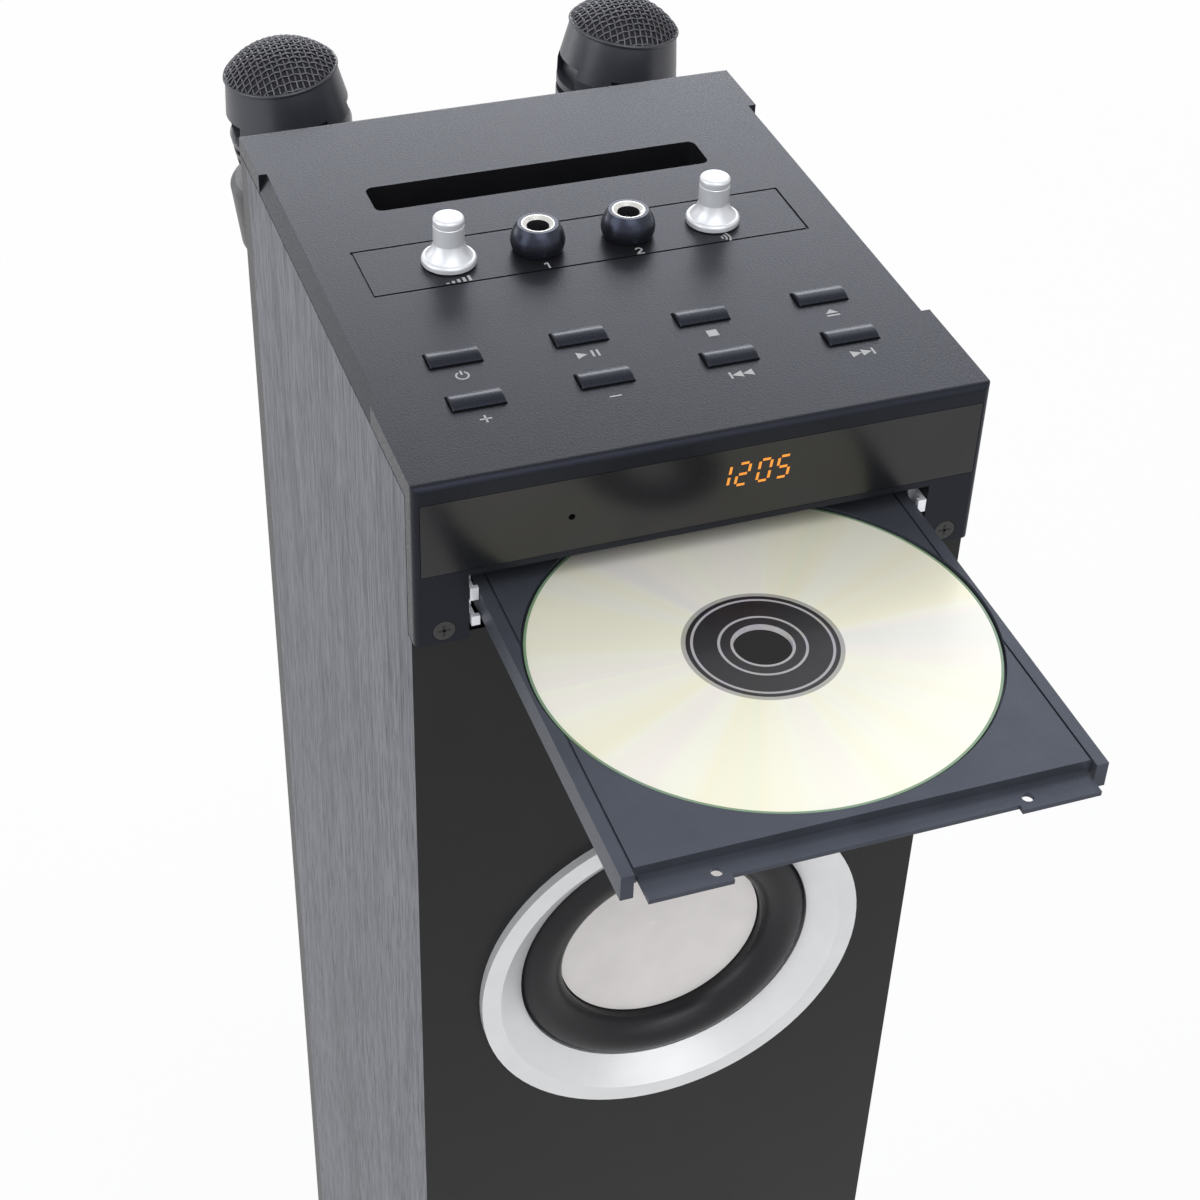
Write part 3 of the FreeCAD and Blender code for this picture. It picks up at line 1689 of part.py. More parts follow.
def mic_switch(name, sign):
    body = mic_frame(name, sign)
    _, span = toggle_span()
    floor = handle_radius(D.toggle_drop) - D.toggle_rise + D.shaft_fit
    outline = lambda s: rectangle(s, both(D.toggle_width / 2), (floor, floor + D.toggle_rise * 2))
    extrude(body, "XY_Plane", span, outline)
    return body


def mic_grille(name, sign):
    """Domed mesh cap on the rim of the microphone."""
    body = mic_frame(name, sign)
    rise = D.mic_dome
    outer = (D.mic_rim * D.mic_rim + rise * rise) / (rise * 2)
    inner_rim = D.mic_rim - D.mic_mesh
    inner_rise = rise - D.mic_mesh
    inner = (inner_rim * inner_rim + inner_rise * inner_rise) / (inner_rise * 2)
    points = ((inner_rim, 0), (D.mic_rim, 0), (0, rise), (0, inner_rise))
    revolve(body, points, {1: (outer, -1), 3: (inner, 1)})
    return body


def mic_holder(name, sign):
    """Ring that takes the microphone's taper, on an arm from the rear panel."""
    taper = (D.mic_vent_radius - D.mic_seat_radius) / (D.mic_seat_drop - D.mic_vent_drop)
    ring = mic_frame(f"{name}_ring", sign)
    low = -D.holder_top - D.holder_height
    soft = D.cap_round
    points = (
        (0, low),
        (D.holder_radius - soft, low),
        (D.holder_radius, low + soft),
        (D.holder_radius, -D.holder_top - soft),
        (D.holder_radius - soft, -D.holder_top),
        (0, -D.holder_top),
    )
    revolve(ring, points)
    seat = mic_frame(f"{name}_seat", sign)
    clear = D.run_gap

    def seat_radius(drop):
        return D.mic_vent_radius - taper * (drop - D.mic_vent_drop) + clear

    high_drop = D.holder_top - clear * 10
    low_drop = D.holder_top + D.holder_height + clear * 10
    seat_points = (
        (0, -low_drop),
        (seat_radius(low_drop), -low_drop),
        (seat_radius(high_drop), -high_drop),
        (0, -high_drop),
    )
    revolve(seat, seat_points)
    x = holder_centre_x(sign)
    z = holder_middle_z()
    arm = box(f"{name}_arm", about(x, D.holder_arm / 2), (back, mic_y), about(z, D.holder_arm_tall / 2))
    foot = box(
        f"{name}_foot", about(x, D.holder_arm / 2), (back, back + D.holder_plate), about(z, D.holder_foot / 2)
    )
    blank = fuse(f"{name}_blank", ring, arm, foot)
    holes = [
        cylinder(f"{name}_hole", "Y", (px, back, pz), D.screw_radius, D.holder_plate)
        for px, pz in holder_screw_places()
        if px.value * sign > 0
    ]
    return cut(name, blank, seat, *holes)


def build():
    for name, sign in SIDES:
        panel = side_panel(f"{name}_side", sign)
        drill_side(panel, sign)
        node(panel, f"{name}_side_panel")
    node(front_baffle(), "front_baffle")
    node(rear_panel(), "rear_panel")
    node(bottom_board(), "bottom_board")
    node(plinth(), "plinth")
    node(rubber_feet(), "rubber_feet")
    node(case_screws(), "case_screws")

    node(console_cap(), "console_cap")
    node(display_window(), "display_window")
    node(display_module(), "display_module")
    for name, x, y in button_places():
        node(button(name, x, y), name)
    node(control_board(), "control_board")
    for name, sign in SIDES:
        node(knob(f"{name}_knob", sign), f"{name}_knob")
        node(knob_shaft(f"{name}_pot_shaft", sign), f"{name}_knob_shaft")
    node(group("pots", *[potentiometer(sign) for _, sign in SIDES]), "potentiometers")
    node(group("collars", *[jack_collar(sign) for _, sign in SIDES]), "jack_collars")
    node(group("sockets", *[jack_socket(sign) for _, sign in SIDES]), "jack_sockets")

    node(loader_chassis(), "loader_chassis")
    node(group("brackets", *[loader_bracket(name, sign) for name, sign in SIDES]), "loader_brackets")
    node(disc_tray(), "disc_tray")
    node(compact_disc(), "compact_disc")
    node(tray_rack(), "tray_rack")
    node(drive_gear(), "drive_gear")
    node(motor_pinion(), "motor_pinion")
    node(loading_motor(), "loading_motor")
    node(traverse_plate(), "traverse_plate")
    node(spindle_motor(), "spindle_motor")
    node(turntable(), "turntable")
    node(guide_rods(), "guide_rods")
    node(pickup_sled(), "pickup_sled")
    node(clamp_bridge(), "clamp_bridge")
    node(clamp_puck(), "clamp_puck")

    heights = driver_heights()
    for label, make in (
        ("trim_rings", trim_ring),
        ("driver_baskets", basket),
        ("driver_magnets", magnet),
        ("cone_surrounds", surround),
        ("cone_spiders", spider),
    ):
        node(group(f"{label}_pair", *[make(height) for height in heights]), label)
    for name, height in zip(("upper_cone", "lower_cone"), heights):
        node(cone(f"{name}_dish", height), name)

    node(power_inlet(), "power_inlet")
    node(bass_port(), "bass_port")
    node(amplifier_board(), "amplifier_board")
    node(transformer(), "transformer")

    for name, sign in SIDES:
        node(mic_body(f"{name}_mic", sign), f"{name}_mic_body")
        node(mic_grille(f"{name}_mesh", sign), f"{name}_mic_grille")
        node(mic_switch(f"{name}_toggle", sign), f"{name}_mic_switch")
    node(group("holders", *[mic_holder(f"{name}_holder", sign) for name, sign in SIDES]), "mic_holders")


def check():
    """Stop on any feature that failed, cut nothing or left a broken shape."""
    faults = []
    for item in doc.Objects:
        if "Invalid" in item.State or "Error" in item.State:
            faults.append(f"{item.Label}: {item.State}")
        if item.isDerivedFrom("PartDesign::Pocket"):
            if item.Shape.Volume >= item.BaseFeature.Shape.Volume - 1e-6:
                faults.append(f"{item.Label}: the pocket cuts nothing")
    for item in NODES:
        if item.Shape.isNull() or not item.Shape.isValid() or not item.Shape.Solids:
            faults.append(f"{item.Label}: no valid solid")
    if faults:
        raise RuntimeError("; ".join(faults))


build()
doc.recompute()
check()
os.makedirs("parts", exist_ok=True)
for item in NODES:
    item.Shape.exportStep(f"parts/{item.Label}.step")
    print(item.Label, len(item.Shape.Solids), round(item.Shape.Volume))
print(len(NODES), "sub-parts")
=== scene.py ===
import json
import math

import bpy
from mathutils import Matrix, Vector


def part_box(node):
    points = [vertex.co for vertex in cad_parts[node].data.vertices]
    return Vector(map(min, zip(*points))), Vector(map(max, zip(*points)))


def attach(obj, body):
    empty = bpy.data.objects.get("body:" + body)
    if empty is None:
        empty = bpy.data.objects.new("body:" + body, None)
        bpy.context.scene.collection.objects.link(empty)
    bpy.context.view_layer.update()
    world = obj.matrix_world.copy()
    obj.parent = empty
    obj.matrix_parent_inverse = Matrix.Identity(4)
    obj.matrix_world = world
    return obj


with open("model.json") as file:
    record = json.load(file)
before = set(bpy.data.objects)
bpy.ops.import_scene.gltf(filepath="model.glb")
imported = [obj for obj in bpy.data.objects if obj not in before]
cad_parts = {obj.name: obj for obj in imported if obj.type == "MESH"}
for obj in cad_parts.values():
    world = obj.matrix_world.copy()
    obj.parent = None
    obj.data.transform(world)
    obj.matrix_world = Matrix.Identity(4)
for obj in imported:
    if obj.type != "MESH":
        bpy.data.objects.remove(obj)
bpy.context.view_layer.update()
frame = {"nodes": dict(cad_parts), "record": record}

MM = 0.001
CAP_LOW, CAP_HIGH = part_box("console_cap")
TOP = CAP_HIGH.z
APRON_FRONT = CAP_LOW.y
MARK_LIFT = 0.05 * MM


def node_centre(name):
    low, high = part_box(name)
    return (low + high) / 2


def middle(values):
    return (min(values) + max(values)) / 2


# Materials

WHITE = (1, 1, 1, 1)
COOL = (0.62, 0.70, 1.0, 1)
NOISE_SPAN = (0.3, 0.7)
MOTTLE_SCALE = 70
SHEEN_SPREAD = 0.07
BUSH_MOUTH = TOP + 7.0 * MM
SHADER_INPUTS = {
    "colour": "Base Color",
    "rough": "Roughness",
    "metal": "Metallic",
    "specular": "Specular IOR Level",
    "tint": "Specular Tint",
    "coat": "Coat Weight",
    "coat_rough": "Coat Roughness",
    "glow": "Emission Color",
    "glow_strength": "Emission Strength",
}


def scaled(colour, factor):
    return tuple(channel * factor for channel in colour)


class Look:
    """One node material, built up around its Principled shader."""

    def __init__(self, name):
        self.material = bpy.data.materials.new(name)
        self.material.use_nodes = True
        self.tree = self.material.node_tree
        self.shader = self.tree.nodes["Principled BSDF"]
        self.coordinates = self.tree.nodes.new("ShaderNodeTexCoord").outputs["Object"]

    def feed(self, socket, value):
        if isinstance(value, bpy.types.NodeSocket):
            self.tree.links.new(value, socket)
        else:
            socket.default_value = value

    def add(self, kind, inputs=None, **settings):
        node = self.tree.nodes.new(kind)
        for key, value in settings.items():
            setattr(node, key, value)
        for key, value in (inputs or {}).items():
            self.feed(node.inputs[key], value)
        return node

    def set(self, **values):
        for key, value in values.items():
            self.feed(self.shader.inputs[SHADER_INPUTS[key]], value)

    def noise(self, scale, detail=3.0, stretch=(1, 1, 1), distortion=0.0):
        spread = self.add("ShaderNodeMapping", {"Vector": self.coordinates, "Scale": stretch})
        inputs = {
            "Vector": spread.outputs[0],
            "Scale": scale,
            "Detail": detail,
            "Distortion": distortion,
        }
        return self.add("ShaderNodeTexNoise", inputs).outputs["Fac"]

    def ramp(self, factor, stops, smooth=True):
        node = self.add("ShaderNodeValToRGB", {"Fac": factor})
        band = node.color_ramp
        band.interpolation = "LINEAR" if smooth else "CONSTANT"
        while len(band.elements) < len(stops):
            band.elements.new(1.0)
        for element, (position, colour) in zip(band.elements, stops):
            element.position = position
            element.color = (*colour, 1)
        return node.outputs["Color"]

    def shade(self, factor, first, second, source=NOISE_SPAN):
        """A colour that goes from the first to the second over the span that a noise fills."""
        return self.ramp(factor, ((source[0], first), (source[1], second)))

    def span(self, factor, low, high, source=NOISE_SPAN):
        """A number that goes from low to high over the span that a noise fills."""
        inputs = {
            "Value": factor,
            "From Min": source[0],
            "From Max": source[1],
            "To Min": low,
            "To Max": high,
        }
        return self.add("ShaderNodeMapRange", inputs).outputs["Result"]

    def math(self, operation, first, second=0.0):
        return self.add("ShaderNodeMath", {0: first, 1: second}, operation=operation).outputs[0]

    def vector(self, operation, first, second=(0, 0, 0)):
        return self.add("ShaderNodeVectorMath", {0: first, 1: second}, operation=operation)

    def mix(self, first, second, factor=1.0, blend="MIX"):
        node = self.add("ShaderNodeMix", data_type="RGBA", blend_type=blend)
        colours = [socket for socket in node.inputs if socket.type == "RGBA"]
        self.feed(node.inputs["Factor"], factor)
        self.feed(colours[0], first)
        self.feed(colours[1], second)
        return next(socket for socket in node.outputs if socket.type == "RGBA")

    def multiply(self, first, second):
        return self.mix(first, second, blend="MULTIPLY")

    def bump(self, height, depth, strength=1.0):
        node = self.add("ShaderNodeBump", {"Height": height, "Distance": depth, "Strength": strength})
        self.feed(self.shader.inputs["Normal"], node.outputs["Normal"])

    def from_point(self, place):
        return self.vector("SUBTRACT", self.coordinates, place).outputs[0]

    def radius_from(self, x, y):
        """Distance from an upright axis, in metres."""
        flat = self.vector("MULTIPLY", self.from_point((x, y, 0)), (1, 1, 0))
        return self.vector("LENGTH", flat.outputs[0]).outputs["Value"]

    def axis(self, letter):
        return self.add("ShaderNodeSeparateXYZ", {0: self.coordinates}).outputs[letter]


def moulded(name, colour, rough, grain, depth, metal=0.0, shine=0.5, tint=WHITE, mottle=0.12):
    """Plastic, paint or metal with a mottled shade, an uneven sheen and a grain, whose depth is in mm."""
    look = Look(name)
    mottled = look.noise(MOTTLE_SCALE, detail=4)
    fine = look.noise(grain)
    look.set(
        colour=look.shade(mottled, scaled(colour, 1 - mottle), scaled(colour, 1 + mottle)),
        rough=look.span(fine, rough - SHEEN_SPREAD, rough + SHEEN_SPREAD),
        metal=metal,
        specular=shine,
        tint=tint,
    )
    look.bump(fine, depth * MM)
    return look.material


def brushed(name, colour, rough, stretch):
    """Metal drawn along one direction."""
    look = Look(name)
    lines = look.noise(scale=900, detail=4, stretch=stretch)
    cloud = look.noise(scale=40)
    look.set(
        colour=look.shade(cloud, scaled(colour, 0.92), colour),
        rough=look.span(lines, rough - 0.08, rough + 0.1),
        metal=1.0,
    )
    look.bump(lines, depth=0.02 * MM)
    return look.material


def wood_foil(name):
    """Black ash foil: short upright pores in wandering bands of growth."""
    look = Look(name)
    pores = look.noise(scale=1150, detail=4, stretch=(1, 1, 0.075), distortion=0.7)
    streaks = look.noise(scale=230, detail=4, stretch=(1, 1, 0.05), distortion=1.6)
    bands = look.noise(scale=55, detail=3, stretch=(1, 1, 0.06), distortion=1.8)
    pore_shade = look.shade(pores, (0.052, 0.055, 0.066), (0.106, 0.110, 0.126), source=(0.36, 0.50))
    streak_shade = look.shade(streaks, (0.62, 0.62, 0.64), (1.04, 1.04, 1.05), source=(0.36, 0.50))
    band_shade = look.shade(bands, (0.82, 0.82, 0.84), (1.16, 1.16, 1.16), source=(0.35, 0.65))
    look.set(
        colour=look.multiply(look.multiply(pore_shade, streak_shade), band_shade),
        rough=look.span(pores, 0.58, 0.44),
        specular=0.36,
    )
    look.bump(pores, depth=0.14 * MM, strength=0.8)
    return look.material


def disc_face(name):
    """Silver data zone between a clear hub with moulded rings and a clear rim; the hub is drawn an even
    dark colour, and the band round the hole and the rings are bright bands of painted highlight.
    """
    look = Look(name)
    low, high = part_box("compact_disc")
    centre = (low + high) / 2
    edge = (high.x - low.x) / 2
    share = look.math("DIVIDE", look.radius_from(centre.x, centre.y), edge)
    silver = (0.85, 0.845, 0.745)
    hub = (0.010, 0.009, 0.012)
    bright = (0.42, 0.41, 0.44)
    band = (0.40, 0.40, 0.38)
    rim = (0.20, 0.32, 0.20)
    band_start = 0.322
    rim_start = 0.988
    # Zones by share of the radius: the bright bands on the hub are painted highlight, standing in for the
    # reflections of its clear rings
    zones = (
        (0.0, bright),
        (0.136, hub),
        (0.176, bright),
        (0.188, hub),
        (0.292, bright),
        (0.302, hub),
        (band_start, band),
        (0.342, silver),
        (rim_start, rim),
    )
    clear = (0, 0, 0)
    metallic = (0.12, 0.12, 0.12)
    metal_zones = ((0.0, clear), (band_start, metallic), (rim_start, clear))
    # Painted sheen: soft sectors round the centre tint the colour, standing in for the disc's rainbow
    # highlights
    sides = look.add("ShaderNodeSeparateXYZ", {0: look.from_point(centre)})
    angle = look.math("ARCTAN2", sides.outputs["Y"], sides.outputs["X"])
    painted_sheen_rays = look.add("ShaderNodeTexNoise", {"W": angle, "Scale": 1.7, "Detail": 2.0}, noise_dimensions="1D")
    painted_sheen_tints = (
        (0.30, (0.92, 0.92, 0.97)),
        (0.40, (0.99, 0.94, 0.97)),
        (0.50, (1.0, 0.99, 0.95)),
        (0.62, (1.0, 0.96, 0.84)),
        (0.70, (0.95, 0.97, 0.88)),
    )
    painted_sheen_tone = look.ramp(painted_sheen_rays.outputs["Fac"], painted_sheen_tints)
    look.set(
        colour=look.multiply(look.ramp(share, zones, smooth=False), painted_sheen_tone),
        metal=look.ramp(share, metal_zones, smooth=False),
        rough=look.span(look.noise(scale=500), 0.3, 0.38),
        specular=0.36,
        coat=0.12,
        coat_rough=0.06,
    )
    return look.material


def socket_look(name):
    """Black socket whose bush has a bright ring round its mouth."""
    look = Look(name)
    fine = look.noise(scale=2600)
    at_mouth = look.math("GREATER_THAN", look.axis("Z"), BUSH_MOUTH)
    look.set(
        colour=look.mix((0.02, 0.02, 0.022, 1), (0.62, 0.61, 0.59, 1), at_mouth),
        metal=at_mouth,
        rough=look.span(fine, 0.22, 0.3),
    )
    look.bump(fine, depth=0.02 * MM)
    return look.material


def smoked(name):
    """Glossy smoked plastic with a faint ripple."""
    look = Look(name)
    ripple = look.noise(scale=60, detail=2)
    look.set(
        colour=look.shade(ripple, (0.005, 0.005, 0.006), (0.009, 0.009, 0.011)),
        rough=look.span(look.noise(scale=900), 0.18, 0.24),
        specular=0.45,
    )
    look.bump(ripple, depth=0.01 * MM, strength=0.3)
    return look.material


def glowing(name, colour, strength):
    """Print or a lit segment, which gives a little light of its own; on print this glow is painted light.
    """
    look = Look(name)
    flicker = look.noise(scale=900, detail=2)
    look.set(
        colour=scaled(colour, 0.4) + (1,),
        glow=look.shade(flicker, scaled(colour, 0.85), colour),
        glow_strength=strength,
        rough=0.6,
    )
    return look.material


# A moulded look has a name, a colour, a roughness, the scale of its grain and the grain's depth in mm
SLOT_LOOKS = {
    "wood_grain": wood_foil("black ash foil"),
    "baffle_black": moulded("satin black lacquer", (0.006, 0.006, 0.007), 0.42, 1800, 0.02, shine=0.26),
    "board_black": moulded("black board", (0.02, 0.02, 0.022), 0.5, 1200, 0.06),
    "foot_rubber": moulded("foot rubber", (0.018, 0.018, 0.018), 0.75, 1500, 0.1),
    "screw_steel": moulded("blackened steel", (0.05, 0.05, 0.05), 0.32, 1500, 0.02, metal=0.8),
    "console_plastic": moulded(
        "charcoal console", (0.009, 0.009, 0.010), 0.36, 1500, 0.05, shine=0.22, tint=COOL
    ),
    "smoked_window": smoked("smoked window"),
    "display_board": moulded("circuit board", (0.02, 0.08, 0.035), 0.45, 800, 0.05),
    "button_plastic": moulded(
        "button plastic", (0.008, 0.008, 0.009), 0.3, 2600, 0.008, shine=0.3, tint=COOL
    ),
    "knob_chrome": moulded(
        "satin aluminium", (0.70, 0.71, 0.73), 0.36, 2600, 0.01, metal=0.3, mottle=0.04
    ),
    "shaft_steel": brushed("turned steel", (0.6, 0.6, 0.6), 0.3, (1, 1, 0.05)),
    "pot_metal": brushed("plated can", (0.55, 0.55, 0.52), 0.35, (1, 0.1, 1)),
    "jack_black": socket_look("socket"),
    "loader_plastic": moulded("loader plastic", (0.02, 0.02, 0.02), 0.55, 2000, 0.05),
    "bracket_steel": moulded("zinc plate", (0.82, 0.83, 0.86), 0.34, 1200, 0.02, metal=0.5),
    "tray_plastic": moulded(
        "tray plastic", (0.046, 0.050, 0.060), 0.42, 1800, 0.03, shine=0.35, tint=COOL
    ),
    "disc_face": disc_face("disc"),
    "gear_plastic": moulded("gear plastic", (0.75, 0.74, 0.7), 0.5, 1500, 0.03),
    "motor_steel": brushed("motor can", (0.6, 0.6, 0.58), 0.32, (1, 1, 0.05)),
    "turntable_plastic": moulded("turntable plastic", (0.03, 0.03, 0.03), 0.5, 2000, 0.04),
    "trim_silver": moulded(
        "trim silver", (0.78, 0.78, 0.78), 0.36, 2600, 0.01, metal=0.4, mottle=0.03
    ),
    "basket_steel": moulded("basket paint", (0.015, 0.015, 0.015), 0.45, 1500, 0.05),
    "magnet_ferrite": moulded("ferrite", (0.04, 0.04, 0.04), 0.6, 1200, 0.08, metal=0.3),
    "surround_rubber": moulded("surround rubber", (0.008, 0.008, 0.010), 0.36, 2200, 0.03, shine=0.3),
    "spider_cloth": moulded("spider cloth", (0.5, 0.36, 0.16), 0.85, 900, 0.2),
    "cone_silver": moulded(
        "silver cone", (0.80, 0.77, 0.75), 0.42, 2600, 0.02, metal=0.4, mottle=0.04
    ),
    "inlet_black": moulded("inlet plastic", (0.02, 0.02, 0.02), 0.45, 2200, 0.04),
    "core_steel": moulded("laminated core", (0.12, 0.11, 0.1), 0.5, 900, 0.1, metal=0.6),
    "mic_plastic": moulded("microphone plastic", (0.032, 0.033, 0.042), 0.36, 2600, 0.03),
    "mic_mesh": moulded("microphone foam", (0.01, 0.01, 0.011), 0.9, 1500, 0.2),
    "toggle_plastic": moulded("toggle plastic", (0.3, 0.3, 0.3), 0.45, 2200, 0.03),
    "holder_plastic": moulded("holder plastic", (0.02, 0.02, 0.022), 0.4, 2200, 0.04),
}
COLLAR_LOOK = moulded("collar plastic", (0.011, 0.011, 0.014), 0.3, 2600, 0.004, tint=COOL)
# Print marks carry a faint painted glow, though print gives no light of its own
PRINT_WITH_PAINTED_GLOW_LOOK = glowing("printed white with painted glow", (0.75, 0.75, 0.76), 0.12)
DIGIT_LOOK = glowing("amber segment", (1.0, 0.34, 0.04), 0.85)
WIRE_LOOK = moulded("black wire", (0.08, 0.08, 0.09), 0.34, 1500, 0.02, metal=0.7)
# The screw recesses are flat crosses darker than the heads: painted shade for the hollows
RECESS_SHADE_LOOK = moulded("screw recess painted shade", (0.006, 0.006, 0.006), 0.7, 900, 0.02)

for part in frame["record"]["subparts"]:
    mesh = frame["nodes"][part["node"]].data
    mesh.materials.clear()
    mesh.materials.append(SLOT_LOOKS[part["material_slot"]])
frame["nodes"]["jack_collars"].data.materials[0] = COLLAR_LOOK


# Flat marks: polygons in millimetres, laid on a face of the object

LINE = 0.42
THIN = 0.22
ARM = 1.3
HALF = 1.2


def bar(u0, v0, u1, v1):
    return [(u0, v0), (u1, v0), (u1, v1), (u0, v1)]


def stroke(start, end, width):
    a, b = Vector(start), Vector(end)
    side = Vector((a.y - b.y, b.x - a.x)).normalized() * width / 2
    return [tuple(p) for p in (a - side, b - side, b + side, a + side)]


def arc(centre, radius, start, end, width, steps=14):
    """Short strokes along part of a circle, between angles in degrees."""
    points = []
    for i in range(steps + 1):
        angle = math.radians(start + (end - start) * i / steps)
        points.append((centre[0] + radius * math.cos(angle), centre[1] + radius * math.sin(angle)))
    return [stroke(p, q, width) for p, q in zip(points, points[1:])]


def triangle(u, way):
    """A pointer towards +u (way 1) or -u (way -1)."""
    return [(u - HALF * way, -HALF), (u + HALF * way, 0), (u - HALF * way, HALF)]


def flat_marks(name, polygons, place, look, body):
    """One mesh from polygons, each corner put in space by place(u, v)."""
    corners, faces = [], []
    for polygon in polygons:
        faces.append(range(len(corners), len(corners) + len(polygon)))
        corners += [place(u, v) for u, v in polygon]
    mesh = bpy.data.meshes.new(name)
    mesh.from_pydata(corners, [], faces)
    mesh.update()
    mesh.materials.append(look)
    item = bpy.data.objects.new(name, mesh)
    bpy.context.scene.collection.objects.link(item)
    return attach(item, body)


POWER = arc((0, 0), 1.35, 120, 420, LINE) + [stroke((0, 0.3), (0, 1.8), LINE)]
PLAY = [triangle(-1.6, 1), bar(0.5, -HALF, 1.0, HALF), bar(1.7, -HALF, 2.2, HALF)]
STOP = [bar(-HALF, -HALF, HALF, HALF)]
EJECT = [[(-1.5, -0.2), (1.5, -0.2), (0, 1.4)], bar(-1.5, -1.3, 1.5, -0.75)]
PLUS = [bar(-ARM, -THIN, ARM, THIN), bar(-THIN, -ARM, THIN, ARM)]
MINUS = [bar(-ARM, -THIN, ARM, THIN)]
PREVIOUS = [bar(-2.6, -HALF, -2.1, HALF), triangle(-0.9, -1), triangle(1.5, -1)]
NEXT = [triangle(-1.5, 1), triangle(0.9, 1), bar(2.1, -HALF, 2.6, HALF)]
ONE = [bar(-THIN, -HALF, THIN, HALF), stroke((-0.8, 0.6), (0, HALF), LINE)]
TWO = arc((0, 0.5), 0.7, 160, -20, LINE, 8) + [
    stroke((0.66, 0.26), (-0.8, -1.1), LINE),
    bar(-0.9, -1.3, 0.9, -0.9),
]
LEVEL = [bar(-3.2 + 1.3 * i, -HALF, -2.5 + 1.3 * i, -0.7 + 0.42 * i) for i in range(5)]
WAVES = [s for r in (0.9, 1.8, 2.7) for s in arc((-1.5, 0), r, -38, 38, LINE, 6)]

BUTTON_MARKS = {
    "power_button": POWER,
    "play_button": PLAY,
    "stop_button": STOP,
    "eject_button": EJECT,
    "volume_up_button": PLUS,
    "volume_down_button": MINUS,
    "previous_button": PREVIOUS,
    "next_button": NEXT,
}
MARK_SIZE = 1.25
LABEL_AHEAD = 8.6 * MM
CONTROL_LABEL_Y = APRON_FRONT + 89.9 * MM


def put_on_top(x, y):
    return lambda u, v: (x + u * MARK_SIZE * MM, y + v * MARK_SIZE * MM, TOP + MARK_LIFT)


def put_upright(x, y, z):
    return lambda u, v: (x + u * MM, y, z + v * MM)


for button, symbol in BUTTON_MARKS.items():
    spot = node_centre(button)
    place = put_on_top(spot.x, spot.y - LABEL_AHEAD)
    flat_marks(f"{button}_mark", symbol, place, PRINT_WITH_PAINTED_GLOW_LOOK, "cabinet")
for knob, symbol in (("left_knob", LEVEL), ("right_knob", WAVES)):
    place = put_on_top(node_centre(knob).x, CONTROL_LABEL_Y)
    flat_marks(f"{knob}_mark", symbol, place, PRINT_WITH_PAINTED_GLOW_LOOK, "cabinet")
jack_places = {mount["name"]: Vector(mount["pos_m"]) for mount in frame["record"]["mounts"]}
for number, jack, symbol in ((1, "left_jack", ONE), (2, "right_jack", TWO)):
    place = put_on_top(jack_places[jack].x, CONTROL_LABEL_Y)
    flat_marks(f"jack_{number}_mark", symbol, place, PRINT_WITH_PAINTED_GLOW_LOOK, "cabinet")


# Display: plain numbers in slanted segments on the window

DISPLAY_TEXT = "1205"
SEGMENT_ENDS = {
    "a": ((0, 2), (1, 2)),
    "b": ((1, 2), (1, 1)),
    "c": ((1, 1), (1, 0)),
    "d": ((0, 0), (1, 0)),
    "e": ((0, 1), (0, 0)),
    "f": ((0, 2), (0, 1)),
    "g": ((0, 1), (1, 1)),
}
DIGIT_SEGMENTS = {"0": "abcdef", "1": "bc", "2": "abged", "5": "afgcd"}
DIGIT_WIDTH = 3.2
DIGIT_HALF = 3.3
DIGIT_SLANT = 0.14
DIGIT_LINE = 0.75
DIGIT_GAP = 0.5
DIGIT_STARTS = (1.9, 7.2, 13.2, 18.5)
DIGIT_BOTTOM = -17.3


def digit(character, start):
    strokes = []
    for name in DIGIT_SEGMENTS[character]:
        (u0, v0), (u1, v1) = SEGMENT_ENDS[name]
        a = Vector((u0 * DIGIT_WIDTH, v0 * DIGIT_HALF))
        b = Vector((u1 * DIGIT_WIDTH, v1 * DIGIT_HALF))
        along = (b - a).normalized() * DIGIT_GAP
        flat = stroke(a + along, b - along, DIGIT_LINE)
        strokes.append([(start + u + v * DIGIT_SLANT, DIGIT_BOTTOM + v) for u, v in flat])
    return strokes


window_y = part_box("display_window")[0].y - MARK_LIFT
digits = [s for character, start in zip(DISPLAY_TEXT, DIGIT_STARTS) for s in digit(character, start)]
flat_marks("display_digits", digits, put_upright(0, window_y, TOP), DIGIT_LOOK, "cabinet")


# Cross recesses in the screw heads, drawn as flat crosses of painted shade

SCREW_REACH = 8 * MM
FRONT_ZONE = 3 * MM
CROSS = [bar(-1.7, -0.35, 1.7, 0.35), bar(-0.35, -1.7, 0.35, 1.7)]


def screw_heads():
    """Axis and head face of each screw, read from the node's own corners."""
    screws = []
    for vertex in frame["nodes"]["case_screws"].data.vertices:
        corner = vertex.co
        for screw in screws:
            first = screw[0]
            if math.hypot(first.x - corner.x, first.z - corner.z) < SCREW_REACH:
                screw.append(corner)
                break
        else:
            screws.append([corner])
    for screw in screws:
        front = min(corner.y for corner in screw)
        back = max(corner.y for corner in screw)
        faces_front = front < APRON_FRONT + FRONT_ZONE
        face = front - MARK_LIFT if faces_front else back + MARK_LIFT
        yield middle([corner.x for corner in screw]), face, middle([corner.z for corner in screw])


for index, head in enumerate(screw_heads()):
    flat_marks(f"screw_cross_{index}", CROSS, put_upright(*head), RECESS_SHADE_LOOK, "cabinet")


# Rubber skirts that close the gap between each cone's edge and its surround

SKIRT_GAP = 0.4 * MM
SKIRT_AHEAD = 2.9 * MM
SKIRT_BEHIND = 1.0 * MM
SKIRT_STEPS = 96
SKIRT_TURN = 360 / SKIRT_STEPS


def put_round(x, z, radius):
    """Corner places on a wall round a driver's axis: angle in degrees, depth in metres."""
    return lambda angle, y: (
        x + radius * math.cos(math.radians(angle)),
        y,
        z + radius * math.sin(math.radians(angle)),
    )


